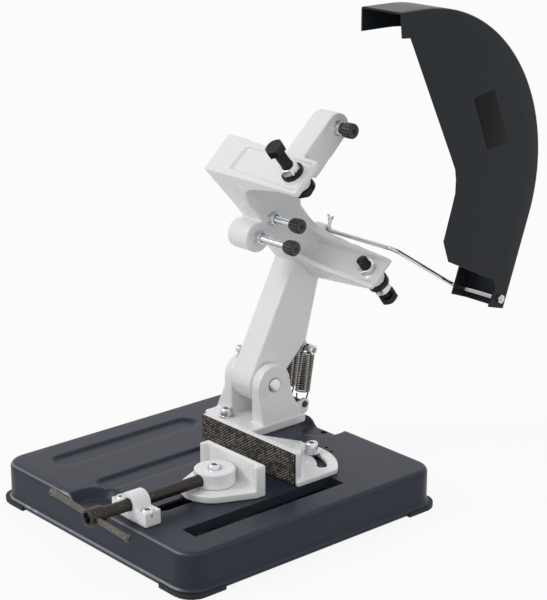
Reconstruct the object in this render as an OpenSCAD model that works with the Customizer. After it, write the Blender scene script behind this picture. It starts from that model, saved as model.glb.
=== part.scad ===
// Bench stand for an angle grinder: tray base, screw vise, sprung swing arm with a clamp fork, wheel guard.
// X runs to the operator's right, Y to the back, Z up. Measures are millimetres.

/* [Tray] */
// Width of the tray over its rolled rim
rim_w = 320; // [312:1:340]
// Depth of the tray over its rolled rim
rim_d = 335; // [333:1:360]
// Corner radius of the rim in plan
rim_r = 20; // [12:1:30]
// How far the rim stands out from the tray's wall
rim_lip = 2.5; // [1.5:0.1:4]
// Height of the rolled rim
rim_h = 4; // [3:0.5:6]
// Height of the tray's top above the bench
top_z = 44.2; // [40:0.2:56]
// Thickness of the pressed sheet
sheet_t = 2.5; // [1.5:0.1:3]
// Rounding along the tray's top edge
edge_r = 5; // [3:0.5:8]
// Depth of the two pressed grooves
groove_depth = 3; // [1:0.25:4]
// Width of each groove
groove_w = 30; // [20:1:34]
// Length of each groove
groove_l = 188; // [120:1:190]
// Left to right place of the outer groove's centre line
groove_outer_x = -112; // [-118:1:-108]
// Left to right place of the inner groove's centre line
groove_inner_x = -33; // [-40:1:-30]
// Radius of the finger scoop in the front and rear edges
scoop_r = 30; // [20:1:32]
// Depth of a scoop below the tray's top
scoop_depth = 9.7; // [6:0.1:14]
// Left to right place of the scoops
scoop_x = -8; // [-20:1:-8]
// Diameter of the bench screw hole in each scoop
bench_hole_d = 8; // [5:0.5:10]
// Width of the slot that the wheel runs in
wheel_slot_w = 21.3; // [14:0.1:26]
// Length of the wheel slot
wheel_slot_l = 193.6; // [150:0.2:200]
// Left to right place of the wheel slot's centre line
wheel_slot_x = 114; // [112:0.5:126]
// Thickness of the rubber under the rim
foot_t = 2; // [1.5:0.5:6]
// How far a rubber foot wraps outside the rim
foot_wrap = 1.5; // [1:0.25:3]
// Length of a rubber foot along each side
foot_l = 45; // [30:1:60]

/* [Fasteners] */
// Nominal diameter of the cap screws that hold the castings
cap_d = 8; // [6:1:8]
// Nominal diameter of the two fork bolts
clamp_d = 12; // [10:1:16]
// Clearance all round a screw in a drilled hole
hole_gap = 0.3; // [0.2:0.05:0.6]
// Running clearance all round a shaft in its bore
fit = 0.05; // [0.02:0.01:0.1]
// Gap between two flat faces that slide on each other
slide_gap = 0.2; // [0.1:0.05:0.4]

/* [Vise] */
// Left to right place of the vise screw
vise_x = 52; // [50:0.5:53]
// Height of the vise screw's axis above the tray
screw_rise = 16; // [15:0.5:18]
// Diameter of the vise screw
screw_d = 12.5; // [12:0.5:14]
// Width of the screw block
block_w = 55; // [54:1:58]
// Length of the screw block along the screw
block_l = 18.7; // [16:0.1:20]
// Distance from the tray's front wall back to the screw block
block_inset = 9.5; // [9:0.5:11]
// Height of the screw block's two wings
wing_h = 15.3; // [12:0.1:15.5]
// Radius of the block's round saddle
saddle_r = 12.5; // [11:0.5:13]
// Distance between the block's two screws
block_pitch = 41; // [40:1:42]
// Radius of the hub on the screw
hub_r = 8.8; // [8:0.2:11]
// Length of the hub
hub_l = 18.5; // [16:0.5:22]
// Gap between the hub and the screw block with the vise as shown
hub_travel = 30.5; // [28:0.5:34]
// Diameter of the tommy bar
tommy_d = 5.6; // [4:0.2:6]
// Length of the tommy bar
tommy_l = 126; // [100:2:140]
// How far the tommy bar is slid to the left as shown
tommy_slid = 6; // [0:1:20]
// Turn of the screw as shown, which drops the tommy bar's right end, in degrees
tommy_turn = 3; // [0:1:45]
// Radius of the swivel block on the moving jaw
swivel_r = 21; // [20:0.5:22]
// Height of the swivel block
swivel_h = 16.1; // [16:0.1:18]
// Distance from the moving jaw's face back to its swivel
swivel_back = 29; // [28.5:0.5:31]
// Width of the moving jaw
jaw_w = 90; // [70:1:100]
// Height of the moving jaw above the tray
jaw_h = 33.3; // [28:0.1:40]
// Thickness of the moving jaw's foot
jaw_foot_t = 8; // [6:0.5:9]
// Clear opening between the two jaws as shown
jaw_gap = 36.2; // [20:0.2:60]
// Length of the fixed jaw
fence_w = 148.3; // [146:0.5:156]
// Height of the fixed jaw above the tray
fence_h = 35; // [30:0.5:40]
// Thickness of the fixed jaw's knurled plate
knurl_t = 2; // [1.5:0.25:4]
// Thickness of the fixed jaw's upright
fence_t = 7.8; // [6:0.2:10]
// Distance of the fixed jaw's pivot behind its face
fence_pivot_back = 14.8; // [14:0.2:17]
// Thickness of the fixed jaw's wing
fence_wing_t = 5.6; // [4:0.2:8]
// Radius of the wing about the pivot
fence_wing_r = 67; // [64:0.5:70]
// Radius of the curved slot about the pivot
fence_slot_r = 50.2; // [48:0.2:53]
// Angle that the curved slot lets the fixed jaw turn through
fence_turn = 41; // [35:1:45]

/* [Hinge] */
// Width of the swing arm and its barrel
arm_w = 33; // [28:0.5:36]
// Left to right place of the arm's centre line
arm_x = -65.5; // [-68:0.5:-64]
// Distance of the arm's pin in front of the tray's rear wall
pin_inset = 55; // [53:1:57]
// Height of the arm's pin above the tray
pin_rise = 49.5; // [46:0.5:54]
// Diameter of the arm's pin
pin_d = 16; // [12:0.5:18]
// Radius of the arm's barrel
barrel_r = 24; // [22:0.5:25]
// Thickness of each ear of the hinge bracket
ear_t = 12.8; // [10:0.2:14]
// Thickness of the bracket's foot
bracket_foot_t = 8.8; // [6:0.2:10]
// Width of the bracket's foot
bracket_w = 83; // [80:1:90]
// Depth of the bracket's foot
bracket_d = 80; // [78:0.5:84]

/* [Springs] */
// Outside diameter of the return springs
spring_od = 16; // [12:0.5:16]
// Diameter of the spring wire
wire_d = 1.25; // [1:0.05:1.4]
// Turns in each spring
spring_turns = 24; // [12:1:26]
// Rise of each turn
spring_pitch = 1.85; // [1.8:0.01:1.9]
// Distance between the two springs
spring_spread = 24; // [22:0.5:28]

/* [Head] */
// Tilt of the clamp fork back from the vertical, in degrees
head_tilt = 43; // [41:0.5:45]
// Height of the upper fork arm's outer face along the head's axis
upper_h = 212.1; // [208:0.5:216]
// Reach of the fork arms to the right of the wall
fork_reach = 111; // [105:1:118]
// Width of the fork arms
fork_w = 42; // [38:0.5:44]
// Place of the fork bolts, right of the wall
bolt_out = 91.5; // [86:0.5:94]
// Length of the upper fork bolt under its head
upper_bolt_l = 66; // [60:1:68]
// Length of the lower fork bolt under its head
lower_bolt_l = 61; // [56:1:66]
// Radius of the round boss on the wall
boss_r = 16.5; // [14:0.5:18]
// Diameter of the three rest studs
stud_d = 6.4; // [5:0.2:8]
// Diameter of the rubber caps on the studs
pad_d = 15.5; // [14:0.5:19]
// Length of a rubber cap
pad_l = 12.5; // [10:0.5:16]
// Width of the arm that carries the third rest
outrigger_w = 28; // [22:1:30]
// Radius of that arm's round end
outrigger_r = 15.5; // [13:0.5:17]

/* [Guard] */
// Outer radius of the wheel guard
guard_r = 173; // [166:0.5:176]
// Width of the guard over its two cheeks
guard_w = 55.5; // [46:0.5:60]
// Thickness of the guard's sheet
guard_t = 2; // [1.2:0.1:2.5]
// Depth of the guard's narrow cheek
flange_d = 24; // [20:0.5:28]
// Distance of the guard's far cheek right of the arm's wall
guard_out = 135.3; // [134:0.1:140]
// Diameter of the rod that carries the guard
rod_d = 4.8; // [4:0.2:6]

/* [Hidden] */
$fn = 48;
over = 1; // how far a cut runs past the face that it opens
seam = 0.02; // keeps a washer and what it lies against apart as two solids
iron = [0.86, 0.86, 0.85];
slate = [0.24, 0.26, 0.30];
zinc = [0.78, 0.79, 0.80];
black = [0.09, 0.09, 0.10];
brown_steel = [0.22, 0.18, 0.16];

// Tray
body_w = rim_w - 2 * rim_lip;
body_d = rim_d - 2 * rim_lip;
body_r = rim_r + 4;
under_z = top_z - sheet_t;
groove_mid_y = -36;
scoop_y = rim_d / 2 - 15.5;
bench_hole_y = scoop_y + 6;
wheel_slot_mid_y = -33.5;
spot_hole_d = 4.4;
spot_holes = [[43.7, 113.7], [54.7, 110.7]];
foot_lap = 6; // how far a foot reaches in under the rim

// Screws: head and nut sizes follow the nominal diameter
cap_head_d = cap_d * 13 / 8;
cap_washer_d = cap_d * 2.1;
washer_t = 1.6;
nut_af = cap_d * 13 / 8;
nut_h = cap_d * 0.8;
clamp_af = clamp_d * 1.5;
clamp_head_h = 8;
clamp_nut_h = clamp_d * 0.8;
jam_nut_h = clamp_d / 2;
clamp_washer_t = 3;
clamp_spacer_t = 6;
through_d = cap_d + 2 * hole_gap;

// Vise, from the fixed jaw's face at the right rear to the hub at the front
screw_z = top_z + screw_rise;
block_y = block_inset - body_d / 2;
block_back_y = block_y + block_l;
hub_back_y = block_y - hub_travel;
hub_front_y = hub_back_y - hub_l;
tommy_y = hub_back_y - hub_l * 0.62;
tommy_end_l = 4; // the bar's ends are swaged so that it stays in the hub
tommy_end_r = tommy_d * 0.68;
fence_y = 18.2;
jaw_y = fence_y - jaw_gap;
swivel_y = jaw_y - swivel_back;
sole_z = top_z + slide_gap;
jaw_foot_z = sole_z + jaw_foot_t;
swivel_z = jaw_foot_z + slide_gap;
swivel_top_z = swivel_z + swivel_h;
screw_tip_y = swivel_y - cap_head_d / 2 - 6;
guide_w = 14.8;
guide_front_y = block_back_y + 16.8;
guide_back_y = fence_y - 26.2;
guide_plate = 26;
guide_plate_t = 4;
guide_tongue_l = 12; // short, so that it clears the slot's round end
cheek_w = 6;
jaw_plate_t = 6;
jaw_depth = 12;
jaw_round_r = 33;
jaw_round_y = swivel_y - 3;

// Fixed jaw
fence_right_x = 98.7;
fence_left_x = fence_right_x - fence_w;
fence_back_y = fence_y + knurl_t + fence_t;
pivot_x = 50;
fence_pivot_y = fence_y + fence_pivot_back;
clamp_angle = 85.5; // where the clamp screw stands in the curved slot
fence_clamp_x = pivot_x + fence_slot_r * cos(clamp_angle);
fence_clamp_y = fence_pivot_y + fence_slot_r * sin(clamp_angle);
fence_wing_z = sole_z + fence_wing_t;
fence_top_z = top_z + fence_h;
pivot_depth = 18;

// Hinge
pin_y = body_d / 2 - pin_inset;
pin_z = top_z + pin_rise;
arm_left_x = arm_x - arm_w / 2;
wall_x = arm_x + arm_w / 2;
ear_right_x = wall_x + slide_gap;
ear_left_x = arm_left_x - slide_gap;
ear_out_right_x = ear_right_x + ear_t;
ear_out_left_x = ear_left_x - ear_t;
foot_top_z = top_z + bracket_foot_t;
bracket_right_x = ear_out_right_x + 8.5;
bracket_left_x = bracket_right_x - bracket_w;
bracket_front_y = pin_y - 40;
bracket_back_y = bracket_front_y + bracket_d;
ear_r = barrel_r - 1.5;
ear_bend_z = pin_z - 10;
bracket_screw_front = [14.5, 32]; // left of and in front of the pin's middle
bracket_screw_back = 31;
bracket_screws = [[arm_x - bracket_screw_front[0], pin_y - bracket_screw_front[1]],
    [arm_x, pin_y + bracket_screw_back]];
ear_knee = [4, 20]; // bends of the ear's rear edge, behind the ear and below the pin
ear_heel = 12.5;
lug_t = 5; // the bracket's two lugs for the springs' peg
lug_r = 7;
lug_gap = 0.8;
web_y = pin_y + 17;
web_t = 5;
lock_x = ear_left_x - ear_t / 2;
lock_y = pin_y - 5;
lock_d = 6;
lock_stand = 5; // height of the screw head's underside over the ear
lug_l = wire_d + lug_gap; // from a spring's middle to the lug beside it

// Springs: from the anchor bar on the bracket to the post on the arm
anchor_y = pin_y + 54;
anchor_z = top_z + 10.6;
post_y = pin_y + 64.5;
post_z = pin_z + 23.3;
bar_d = 7;
spring_l = norm([post_y - anchor_y, post_z - anchor_z]);
spring_lean = atan2(post_y - anchor_y, post_z - anchor_z);
coil_r = (spring_od - wire_d) / 2;
coil_l = spring_turns * spring_pitch;
coil_start = (spring_l - coil_l) / 2 + 1.5;
hook_r = bar_d / 2 + wire_d / 2 + 0.3;
steps = 8; // rings in a turn
sides = 6;
near_x = arm_x + spring_spread / 2;
far_x = arm_x - spring_spread / 2;

// Head: the fork is drawn upright in its own plane, then leans back by the tilt
lean = head_tilt;
fork_p = 267; // front edge of the fork arms, along the leaning plane
fork_back_p = fork_p + fork_w;
wall_p = fork_p - 5;
tip_x = wall_x + fork_reach;
bolt_x = wall_x + bolt_out;
bolt_lean = 3; // the fork bolts stand a little steeper than the fork
bolt_pad_rise = 0.8; // height of the round pads that the fork's nuts bear on
bolt_p = fork_p + fork_w / 2 + 0.4;
upper_floor_h = upper_h - 3;
upper_plate_t = 7.6;
lower_floor_h = 48.1;
lower_face_h = 29;
bolt_pad_r = clamp_d + 1;
bolt_boss_r = clamp_af / 2 + 1.5;
upper_boss_l = 19.5; // from the upper arm's outer face down to the end of the boss under it
lower_boss_l = lower_floor_h + bolt_pad_rise - lower_face_h;
rib_t = 6;
boss_p = wall_p - 12.6;
boss_h = 122.6;
rest_1 = [boss_p + 26.3, boss_h - 0.3];
rest_2 = [boss_p, boss_h];
rest_3 = [fork_back_p + 50.5, upper_h - outrigger_r];
outrigger_x = 12;
outrigger_right_x = outrigger_x + outrigger_w;
rest_nut_h = 5;
rest_reach = [46, 58.5, 23]; // from the face that carries each rest to the tip of its cap
rod_at = tilted(fork_back_p + 2.83, 56.24);
rod_y = rod_at[0];
rod_z = rod_at[1];
rod_boss_r = 6;
rod_boss_l = 11;
rod_boss_x = wall_x - 10; // the boss starts inside the wall
rod_start_x = wall_x - 7;
rod_screw_x = wall_x + rod_boss_l * 0.6;
rod_screw_r = 1.5;

// Guard
guard_y = 150;
guard_z = 346;
guard_left_x = wall_x + guard_out;
guard_right_x = guard_left_x + guard_w;
guard_end_y = 268.5;
guard_end_z = 202.3;
tail_angle = -20; // where the rim leaves the circle for its straight tail
tail_l = 104;
rod_bend_x = 65;
rod_cross_x = guard_left_x - 12;
rod_tip_x = guard_right_x + 5;
rod_nut_t = 4;

// The model's own middle, front to back
mid_y = (hub_front_y + guard_y + guard_r) / 2;

// Points of an arc, from angle a to angle b
function arc(y, z, r, a, b, n) = [for (i = [0:n]) let (t = a + (b - a) * i / n)
    [y + r * cos(t), z + r * sin(t)]];
// A point given along the leaning head plane and at right angles to it
function tilted(p, h) = [p * cos(lean) - h * sin(lean), p * sin(lean) + h * cos(lean)];
function unit(v) = v / norm(v);

module placed() {
    translate([0, -mid_y, 0]) children();
}

// Outlines drawn front to back and up, drawn out along X
module side_on(x0, x1) {
    translate([x0, 0, 0]) rotate([90, 0, 90]) linear_extrude(x1 - x0) children();
}

// Outlines drawn left to right and up, drawn out along Y
module front_on(y0, y1) {
    translate([0, y1, 0]) rotate([90, 0, 0]) linear_extrude(y1 - y0) children();
}

module flat(z0, z1) {
    translate([0, 0, z0]) linear_extrude(z1 - z0) children();
}

module along_x(x0, x1, y, z, r) {
    translate([x0, y, z]) rotate([0, 90, 0]) cylinder(r = r, h = x1 - x0);
}

module along_y(x, y0, y1, z, r) {
    translate([x, y0, z]) rotate([-90, 0, 0]) cylinder(r = r, h = y1 - y0);
}

module upright(x, y, z0, z1, r) {
    translate([x, y, z0]) cylinder(r = r, h = z1 - z0);
}

module in_head() {
    rotate([lean, 0, 0]) children();
}

// Each fork bolt's own frame: the origin is on the outer face that its nuts bear on
module at_upper_bolt() {
    in_head() translate([bolt_x, bolt_p, upper_h]) rotate([-bolt_lean, 0, 0])
        translate([0, 0, bolt_pad_rise]) children();
}

module at_lower_bolt() {
    in_head() translate([bolt_x - 2.9, bolt_p - 4.2, lower_face_h]) rotate([-bolt_lean, 0, 0]) children();
}

module plan(w, d, r) {
    square([w - 2 * r, d], center = true);
    square([w, d - 2 * r], center = true);
    for (sx = [-1, 1], sy = [-1, 1]) translate([sx * (w / 2 - r), sy * (d / 2 - r)]) circle(r);
}

module capsule(w, l) {
    square([w, l - w], center = true);
    for (s = [-1, 1]) translate([0, s * (l - w) / 2]) circle(w / 2);
}

module hex(af, h) {
    rotate(30) cylinder(d = af / cos(30), h = h, $fn = 6);
}

module hex_nut(af, h, d) {
    difference() {
        hex(af, h);
        translate([0, 0, -over]) cylinder(d = d, h = h + 2 * over);
    }
}

module washer(outer, d, t) {
    difference() {
        cylinder(d = outer, h = t);
        translate([0, 0, -over]) cylinder(d = d, h = t + 2 * over);
    }
}

// Socket cap screw: the underside of its head is at the origin and its shank runs down
module cap_screw(d, l) {
    difference() {
        union() {
            cylinder(d = d * 13 / 8, h = d);
            translate([0, 0, -l]) cylinder(d = d, h = l);
        }
        translate([0, 0, d * 0.4]) hex(d * 0.75, d);
    }
}

// Tray
module base_tray() color(slate) placed() difference() {
    union() {
        hull() for (sx = [-1, 1], sy = [-1, 1])
            translate([sx * (body_w / 2 - body_r), sy * (body_d / 2 - body_r), 0])
                rotate_extrude($fn = 32) polygon(concat([[0, foot_t], [body_r, foot_t]],
                    arc(body_r - edge_r, top_z - edge_r, edge_r, 0, 90, 4), [[0, top_z]]));
        flat(foot_t, foot_t + rim_h) plan(rim_w, rim_d, rim_r);
    }
    difference() {
        flat(foot_t - over, under_z) plan(body_w - 2 * sheet_t, body_d - 2 * sheet_t, body_r - sheet_t);
        for (x = [groove_outer_x, groove_inner_x]) translate([x, groove_mid_y, 0])
            flat(under_z - groove_depth, top_z) capsule(groove_w + 2 * sheet_t, groove_l + 2 * sheet_t);
        for (s = [-1, 1])
            upright(scoop_x, s * scoop_y, under_z - scoop_depth, top_z, scoop_r + sheet_t);
    }
    for (x = [groove_outer_x, groove_inner_x]) translate([x, groove_mid_y, 0])
        flat(top_z - groove_depth, top_z + over) capsule(groove_w, groove_l);
    for (s = [-1, 1]) {
        upright(scoop_x, s * scoop_y, top_z - scoop_depth, top_z + over, scoop_r);
        upright(scoop_x, s * bench_hole_y, 0, top_z, bench_hole_d / 2);
    }
    translate([wheel_slot_x, wheel_slot_mid_y, 0])
        flat(under_z - over, top_z + over) square([wheel_slot_w, wheel_slot_l], center = true);
    translate([vise_x, (guide_front_y + guide_back_y) / 2, 0])
        flat(under_z - over, top_z + over) capsule(guide_w, guide_back_y - guide_front_y);
    for (at = concat(block_screw_places(), bracket_screws,
        [[fence_clamp_x, fence_clamp_y], [pivot_x, fence_pivot_y]]))
        upright(at[0], at[1], under_z - over, top_z + over, through_d / 2);
    for (at = spot_holes) upright(at[0], at[1], under_z - over, top_z + over, spot_hole_d / 2);
}

module corner_feet() color(black) placed() for (sx = [-1, 1], sy = [-1, 1]) intersection() {
    difference() {
        flat(0, 2 * foot_t + rim_h) plan(rim_w + 2 * foot_wrap, rim_d + 2 * foot_wrap, rim_r + foot_wrap);
        flat(-over, 2 * foot_t + rim_h + over)
            plan(rim_w - 2 * foot_lap, rim_d - 2 * foot_lap, rim_r - foot_lap);
        flat(foot_t, foot_t + rim_h) plan(rim_w, rim_d, rim_r);
        flat(foot_t, 3 * foot_t + rim_h) plan(body_w + 0.2, body_d + 0.2, body_r);
    }
    translate([sx * (rim_w / 2 - foot_l / 2 + over), sy * (rim_d / 2 - foot_l / 2 + over), top_z / 2])
        cube([foot_l + 2 * over, foot_l + 2 * over, top_z], center = true);
}

// Vise
function block_screw_places() = [for (s = [-1, 1]) [vise_x + s * block_pitch / 2, block_y + 8]];
block_seat_z = top_z + wing_h - cap_d + 1;

module screw_block() color(iron) placed() difference() {
    union() {
        translate([vise_x - block_w / 2, block_y, top_z]) cube([block_w, block_l, wing_h]);
        translate([vise_x - saddle_r, block_y, top_z]) cube([2 * saddle_r, block_l, screw_rise]);
        along_y(vise_x, block_y, block_back_y, screw_z, saddle_r);
    }
    along_y(vise_x, block_y - over, block_back_y + over, screw_z, screw_d / 2 + fit);
    for (at = block_screw_places()) {
        upright(at[0], at[1], top_z - over, top_z + wing_h + over, through_d / 2);
        upright(at[0], at[1], block_seat_z, top_z + wing_h + over, cap_head_d / 2 + hole_gap);
    }
}

module screw_block_bolts() color(zinc) placed() for (at = block_screw_places())
    translate([at[0], at[1], block_seat_z]) cap_screw(cap_d, block_seat_z - under_z + nut_h + 3);

module screw_block_nuts() color(zinc) placed() for (at = block_screw_places())
    translate([at[0], at[1], under_z - nut_h]) hex_nut(nut_af, nut_h, cap_d);

// The cross hole's own place, along X and turned with the screw
module in_hub() {
    translate([vise_x, tommy_y, screw_z]) rotate([0, tommy_turn, 0]) children();
}

module vise_screw() color(brown_steel) placed() difference() {
    union() {
        along_y(vise_x, hub_front_y, hub_back_y, screw_z, hub_r);
        along_y(vise_x, hub_back_y - over, screw_tip_y, screw_z, screw_d / 2);
    }
    along_y(vise_x, hub_front_y - over, hub_front_y + 3.2, screw_z, hub_r * 0.6);
    in_hub() along_x(-hub_r - over, hub_r + over, 0, 0, tommy_d / 2 + fit);
}

module tommy_bar() color(brown_steel) placed() in_hub() translate([-tommy_slid, 0, 0]) {
    along_x(-tommy_l / 2, tommy_l / 2, 0, 0, tommy_d / 2);
    for (x = [-tommy_l / 2, tommy_l / 2 - tommy_end_l]) along_x(x, x + tommy_end_l, 0, 0, tommy_end_r);
}

module swivel_block() color(iron) placed() difference() {
    upright(vise_x, swivel_y, swivel_z, swivel_top_z, swivel_r);
    along_y(vise_x, swivel_y - swivel_r - over, screw_tip_y + hole_gap, screw_z, screw_d / 2 + fit);
    upright(vise_x, swivel_y, swivel_z - over, swivel_top_z + over, cap_d / 2 + fit);
    upright(vise_x, swivel_y, swivel_top_z - 4, swivel_top_z + over, cap_head_d / 2 + hole_gap);
}

module swivel_bolt() color(zinc) placed()
    translate([vise_x, swivel_y, swivel_top_z - 4])
        cap_screw(cap_d, swivel_top_z - 4 - under_z + slide_gap + guide_plate_t + nut_h);

module swivel_guide() color(zinc) placed() difference() {
    union() {
        translate([vise_x, swivel_y, 0]) flat(under_z - slide_gap - guide_plate_t, under_z - slide_gap)
            square(guide_plate, center = true);
        translate([vise_x, swivel_y, 0]) flat(under_z - slide_gap, top_z)
            square([guide_w - 2 * slide_gap, guide_tongue_l], center = true);
        translate([vise_x, swivel_y, under_z - slide_gap - guide_plate_t - nut_h])
            hex(nut_af, nut_h + over);
    }
    upright(vise_x, swivel_y, 0, top_z + over, cap_d / 2);
}

// Place where a line from the jaw's corner touches the round of its foot
jaw_corner = [jaw_w / 2, jaw_y - jaw_depth - jaw_round_y];
jaw_touch = atan2(jaw_corner[1], jaw_corner[0]) - acos(jaw_round_r / norm(jaw_corner));

module moving_jaw() color(iron) placed() difference() {
    union() {
        translate([vise_x, 0, 0]) flat(sole_z, jaw_foot_z) {
            translate([0, jaw_round_y]) circle(jaw_round_r);
            polygon(concat([[jaw_w / 2, jaw_y], [-jaw_w / 2, jaw_y], [-jaw_w / 2, jaw_y - jaw_depth]],
                [for (s = [-1, 1])
                    [s * jaw_round_r * cos(jaw_touch), jaw_round_y + jaw_round_r * sin(jaw_touch)]],
                [[jaw_w / 2, jaw_y - jaw_depth]]));
        }
        translate([vise_x - jaw_w / 2, jaw_y - jaw_plate_t, sole_z]) cube([jaw_w, jaw_plate_t, jaw_h]);
        for (x = [vise_x - jaw_w / 2, vise_x + jaw_w / 2 - cheek_w])
            translate([x, jaw_y - jaw_depth, sole_z]) cube([cheek_w, jaw_depth, jaw_h]);
    }
    upright(vise_x, swivel_y, sole_z - over, jaw_foot_z + over, cap_d / 2 + fit);
}

// Fixed jaw
module fixed_jaw() color(iron) placed() difference() {
    union() {
        translate([fence_left_x, fence_y + knurl_t, sole_z]) cube([fence_w, fence_t, fence_top_z - sole_z]);
        flat(sole_z, fence_wing_z) intersection() {
            translate([pivot_x, fence_pivot_y]) circle(fence_wing_r, $fn = 96);
            translate([pivot_x - 34, fence_y + knurl_t]) square([34 + 53.5, fence_wing_r * 2]);
        }
        intersection() {
            flat(sole_z, fence_top_z) polygon([[pivot_x - 14.5, fence_back_y],
                [fence_right_x, fence_back_y], [pivot_x - 25, fence_pivot_y + fence_wing_r * 0.92]]);
            side_on(fence_left_x, fence_right_x) polygon([[fence_y, sole_z], [fence_y, fence_top_z],
                [fence_back_y, fence_top_z], [fence_pivot_y + fence_wing_r, fence_wing_z - 1],
                [fence_pivot_y + fence_wing_r, sole_z]]);
        }
    }
    // Curved slot about the pivot
    translate([pivot_x, fence_pivot_y, sole_z - over]) {
        rotate(clamp_angle - fence_turn) rotate_extrude(angle = fence_turn)
            translate([fence_slot_r - cap_d / 2 - 1, 0]) square([cap_d + 2, fence_wing_t + 2 * over]);
        // The round ends are a little wider than the slot, so that their walls cross
        for (a = [clamp_angle - fence_turn, clamp_angle]) rotate(a) translate([fence_slot_r, 0, 0])
            cylinder(r = cap_d / 2 + 1.05, h = fence_wing_t + 2 * over);
    }
    upright(pivot_x, fence_pivot_y, sole_z - over, sole_z + pivot_depth + 2, cap_d / 2 + fit);
}

module knurled_plate() color(brown_steel) placed()
    translate([fence_left_x, fence_y, sole_z + 0.6]) cube([fence_w, knurl_t, fence_top_z - sole_z - 1]);

module fence_clamp_screw() color(zinc) placed() {
    translate([fence_clamp_x, fence_clamp_y, fence_wing_z + slide_gap]) {
        washer(cap_washer_d, through_d, washer_t);
        translate([0, 0, washer_t + seam]) cap_screw(cap_d, washer_t + fence_wing_z - under_z + nut_h + 3);
    }
}

module fence_clamp_nut() color(zinc) placed()
    translate([fence_clamp_x, fence_clamp_y, under_z - nut_h]) hex_nut(nut_af, nut_h, cap_d);

module fence_pivot_screw() color(zinc) placed()
    translate([pivot_x, fence_pivot_y, under_z]) mirror([0, 0, 1])
        cap_screw(cap_d, sole_z + pivot_depth - under_z);

// Hinge
module ear_side() {
    translate([pin_y, pin_z]) circle(ear_r);
    polygon([[pin_y - ear_r, foot_top_z - over], [pin_y - ear_r, pin_z], [pin_y + ear_r, pin_z],
        [pin_y + ear_r + ear_knee[0], pin_z - ear_knee[1]], [pin_y + ear_r + ear_heel, foot_top_z - over]]);
}

module ear_front(inner_x, outer_x, toe_x) {
    polygon([[inner_x, top_z + 1], [inner_x, pin_z + barrel_r], [outer_x, pin_z + barrel_r],
        [outer_x, ear_bend_z], [toe_x, foot_top_z], [toe_x, top_z + 1]]);
}

module hinge_bracket() color(iron) placed() difference() {
    union() {
        translate([bracket_left_x + bracket_w / 2, bracket_front_y + bracket_d / 2, 0])
            flat(top_z, foot_top_z) plan(bracket_w, bracket_d, 5);
        intersection() {
            side_on(bracket_left_x, bracket_right_x) ear_side();
            front_on(pin_y - barrel_r, bracket_back_y) {
                ear_front(ear_right_x, ear_out_right_x, bracket_right_x - 1);
                ear_front(ear_left_x, ear_out_left_x, bracket_left_x + 1);
            }
        }
        translate([ear_left_x - 1, web_y, foot_top_z - 1])
            cube([ear_right_x - ear_left_x + 2, web_t, pin_z - barrel_r - foot_top_z + 1]);
        for (x = [near_x + lug_l, far_x - lug_l - lug_t]) side_on(x, x + lug_t) {
            translate([anchor_y, anchor_z]) circle(lug_r);
            polygon([[bracket_back_y - 12, top_z], [bracket_back_y - 12, foot_top_z],
                [anchor_y - 4, anchor_z + 5.7], [anchor_y + 6.9, anchor_z - 1], [anchor_y + 4, top_z]]);
        }
    }
    along_x(bracket_left_x - over, bracket_right_x + over, pin_y, pin_z, pin_d / 2 + fit);
    along_x(far_x - lug_l - lug_t - over, near_x + lug_l + lug_t + over, anchor_y, anchor_z,
        bar_d / 2 + fit);
    for (at = bracket_screws) upright(at[0], at[1], top_z - over, foot_top_z + over, through_d / 2);
    upright(lock_x, lock_y, pin_z, pin_z + barrel_r, lock_d / 2 + fit);
}

module bracket_bolts() color(zinc) placed() for (at = bracket_screws)
    translate([at[0], at[1], foot_top_z]) {
        washer(cap_washer_d, through_d, washer_t);
        translate([0, 0, washer_t + seam]) cap_screw(cap_d, washer_t + foot_top_z - under_z + nut_h + 3);
    }

module bracket_nuts() color(zinc) placed() for (at = bracket_screws)
    translate([at[0], at[1], under_z - nut_h]) hex_nut(nut_af, nut_h, cap_d);

module hinge_pin() color(zinc) placed()
    along_x(ear_out_left_x - 1, ear_out_right_x + 1, pin_y, pin_z, pin_d / 2);

// Height over the pin's axis where the lock screw's inner edge meets the pin
lock_reach = sqrt(pow(pin_d / 2, 2) - pow(pin_y - lock_y - lock_d / 2, 2)) + slide_gap / 2;
ear_top_z = pin_z + sqrt(pow(ear_r, 2) - pow(pin_y - lock_y, 2));

module pin_lock_screw() color(zinc) placed()
    translate([lock_x, lock_y, ear_top_z + lock_stand])
        cap_screw(lock_d, ear_top_z + lock_stand - pin_z - lock_reach);

// Springs
module spring_anchor() color(brown_steel) placed()
    along_x(far_x - wire_d - 6.8, near_x + wire_d + 6.8, anchor_y, anchor_z, bar_d / 2);

module spring_post() color(zinc) placed()
    along_x(far_x - wire_d - 4, near_x + wire_d + 9, post_y, post_z, bar_d / 2);

// One spring in its own frame: the anchor is at the origin and the post at spring_l above it.
// A hook round the bar, a lead to the coil, the coil, a lead and the second hook.
function hook(centre, side, n) = [for (i = [0:n]) let (t = 180 * i / n - 180)
    [0, hook_r * cos(t), centre + side * hook_r * sin(t)]];
function lead(a, b, ta, tb, n) = [for (i = [1:n - 1]) let (t = i / n, s = 1 - t)
    s * s * s * a + 3 * s * s * t * (a + ta) + 3 * s * t * t * (b - tb) + t * t * t * b];
coil_points = [for (i = [0:spring_turns * steps]) let (a = 90 + 360 * i / steps)
    [coil_r * cos(a), coil_r * sin(a), coil_start + coil_l * i / steps / spring_turns]];
first = coil_points[0];
last = coil_points[spring_turns * steps];
low_hook = hook(0, 1, steps);
high_hook = [for (p = hook(spring_l, -1, steps)) [p[0], -p[1], p[2]]];
spring_path = concat([[0, -hook_r, 2.5]], low_hook,
    lead(low_hook[steps], first, [0, 0, 4], [-4, 0, 0.3], 5), coil_points,
    lead(last, high_hook[0], [-4, 0, 0.3], [0, 0, 2], 5), high_hook, [[0, -hook_r, spring_l - 2.5]]);
count = len(spring_path);
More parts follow.
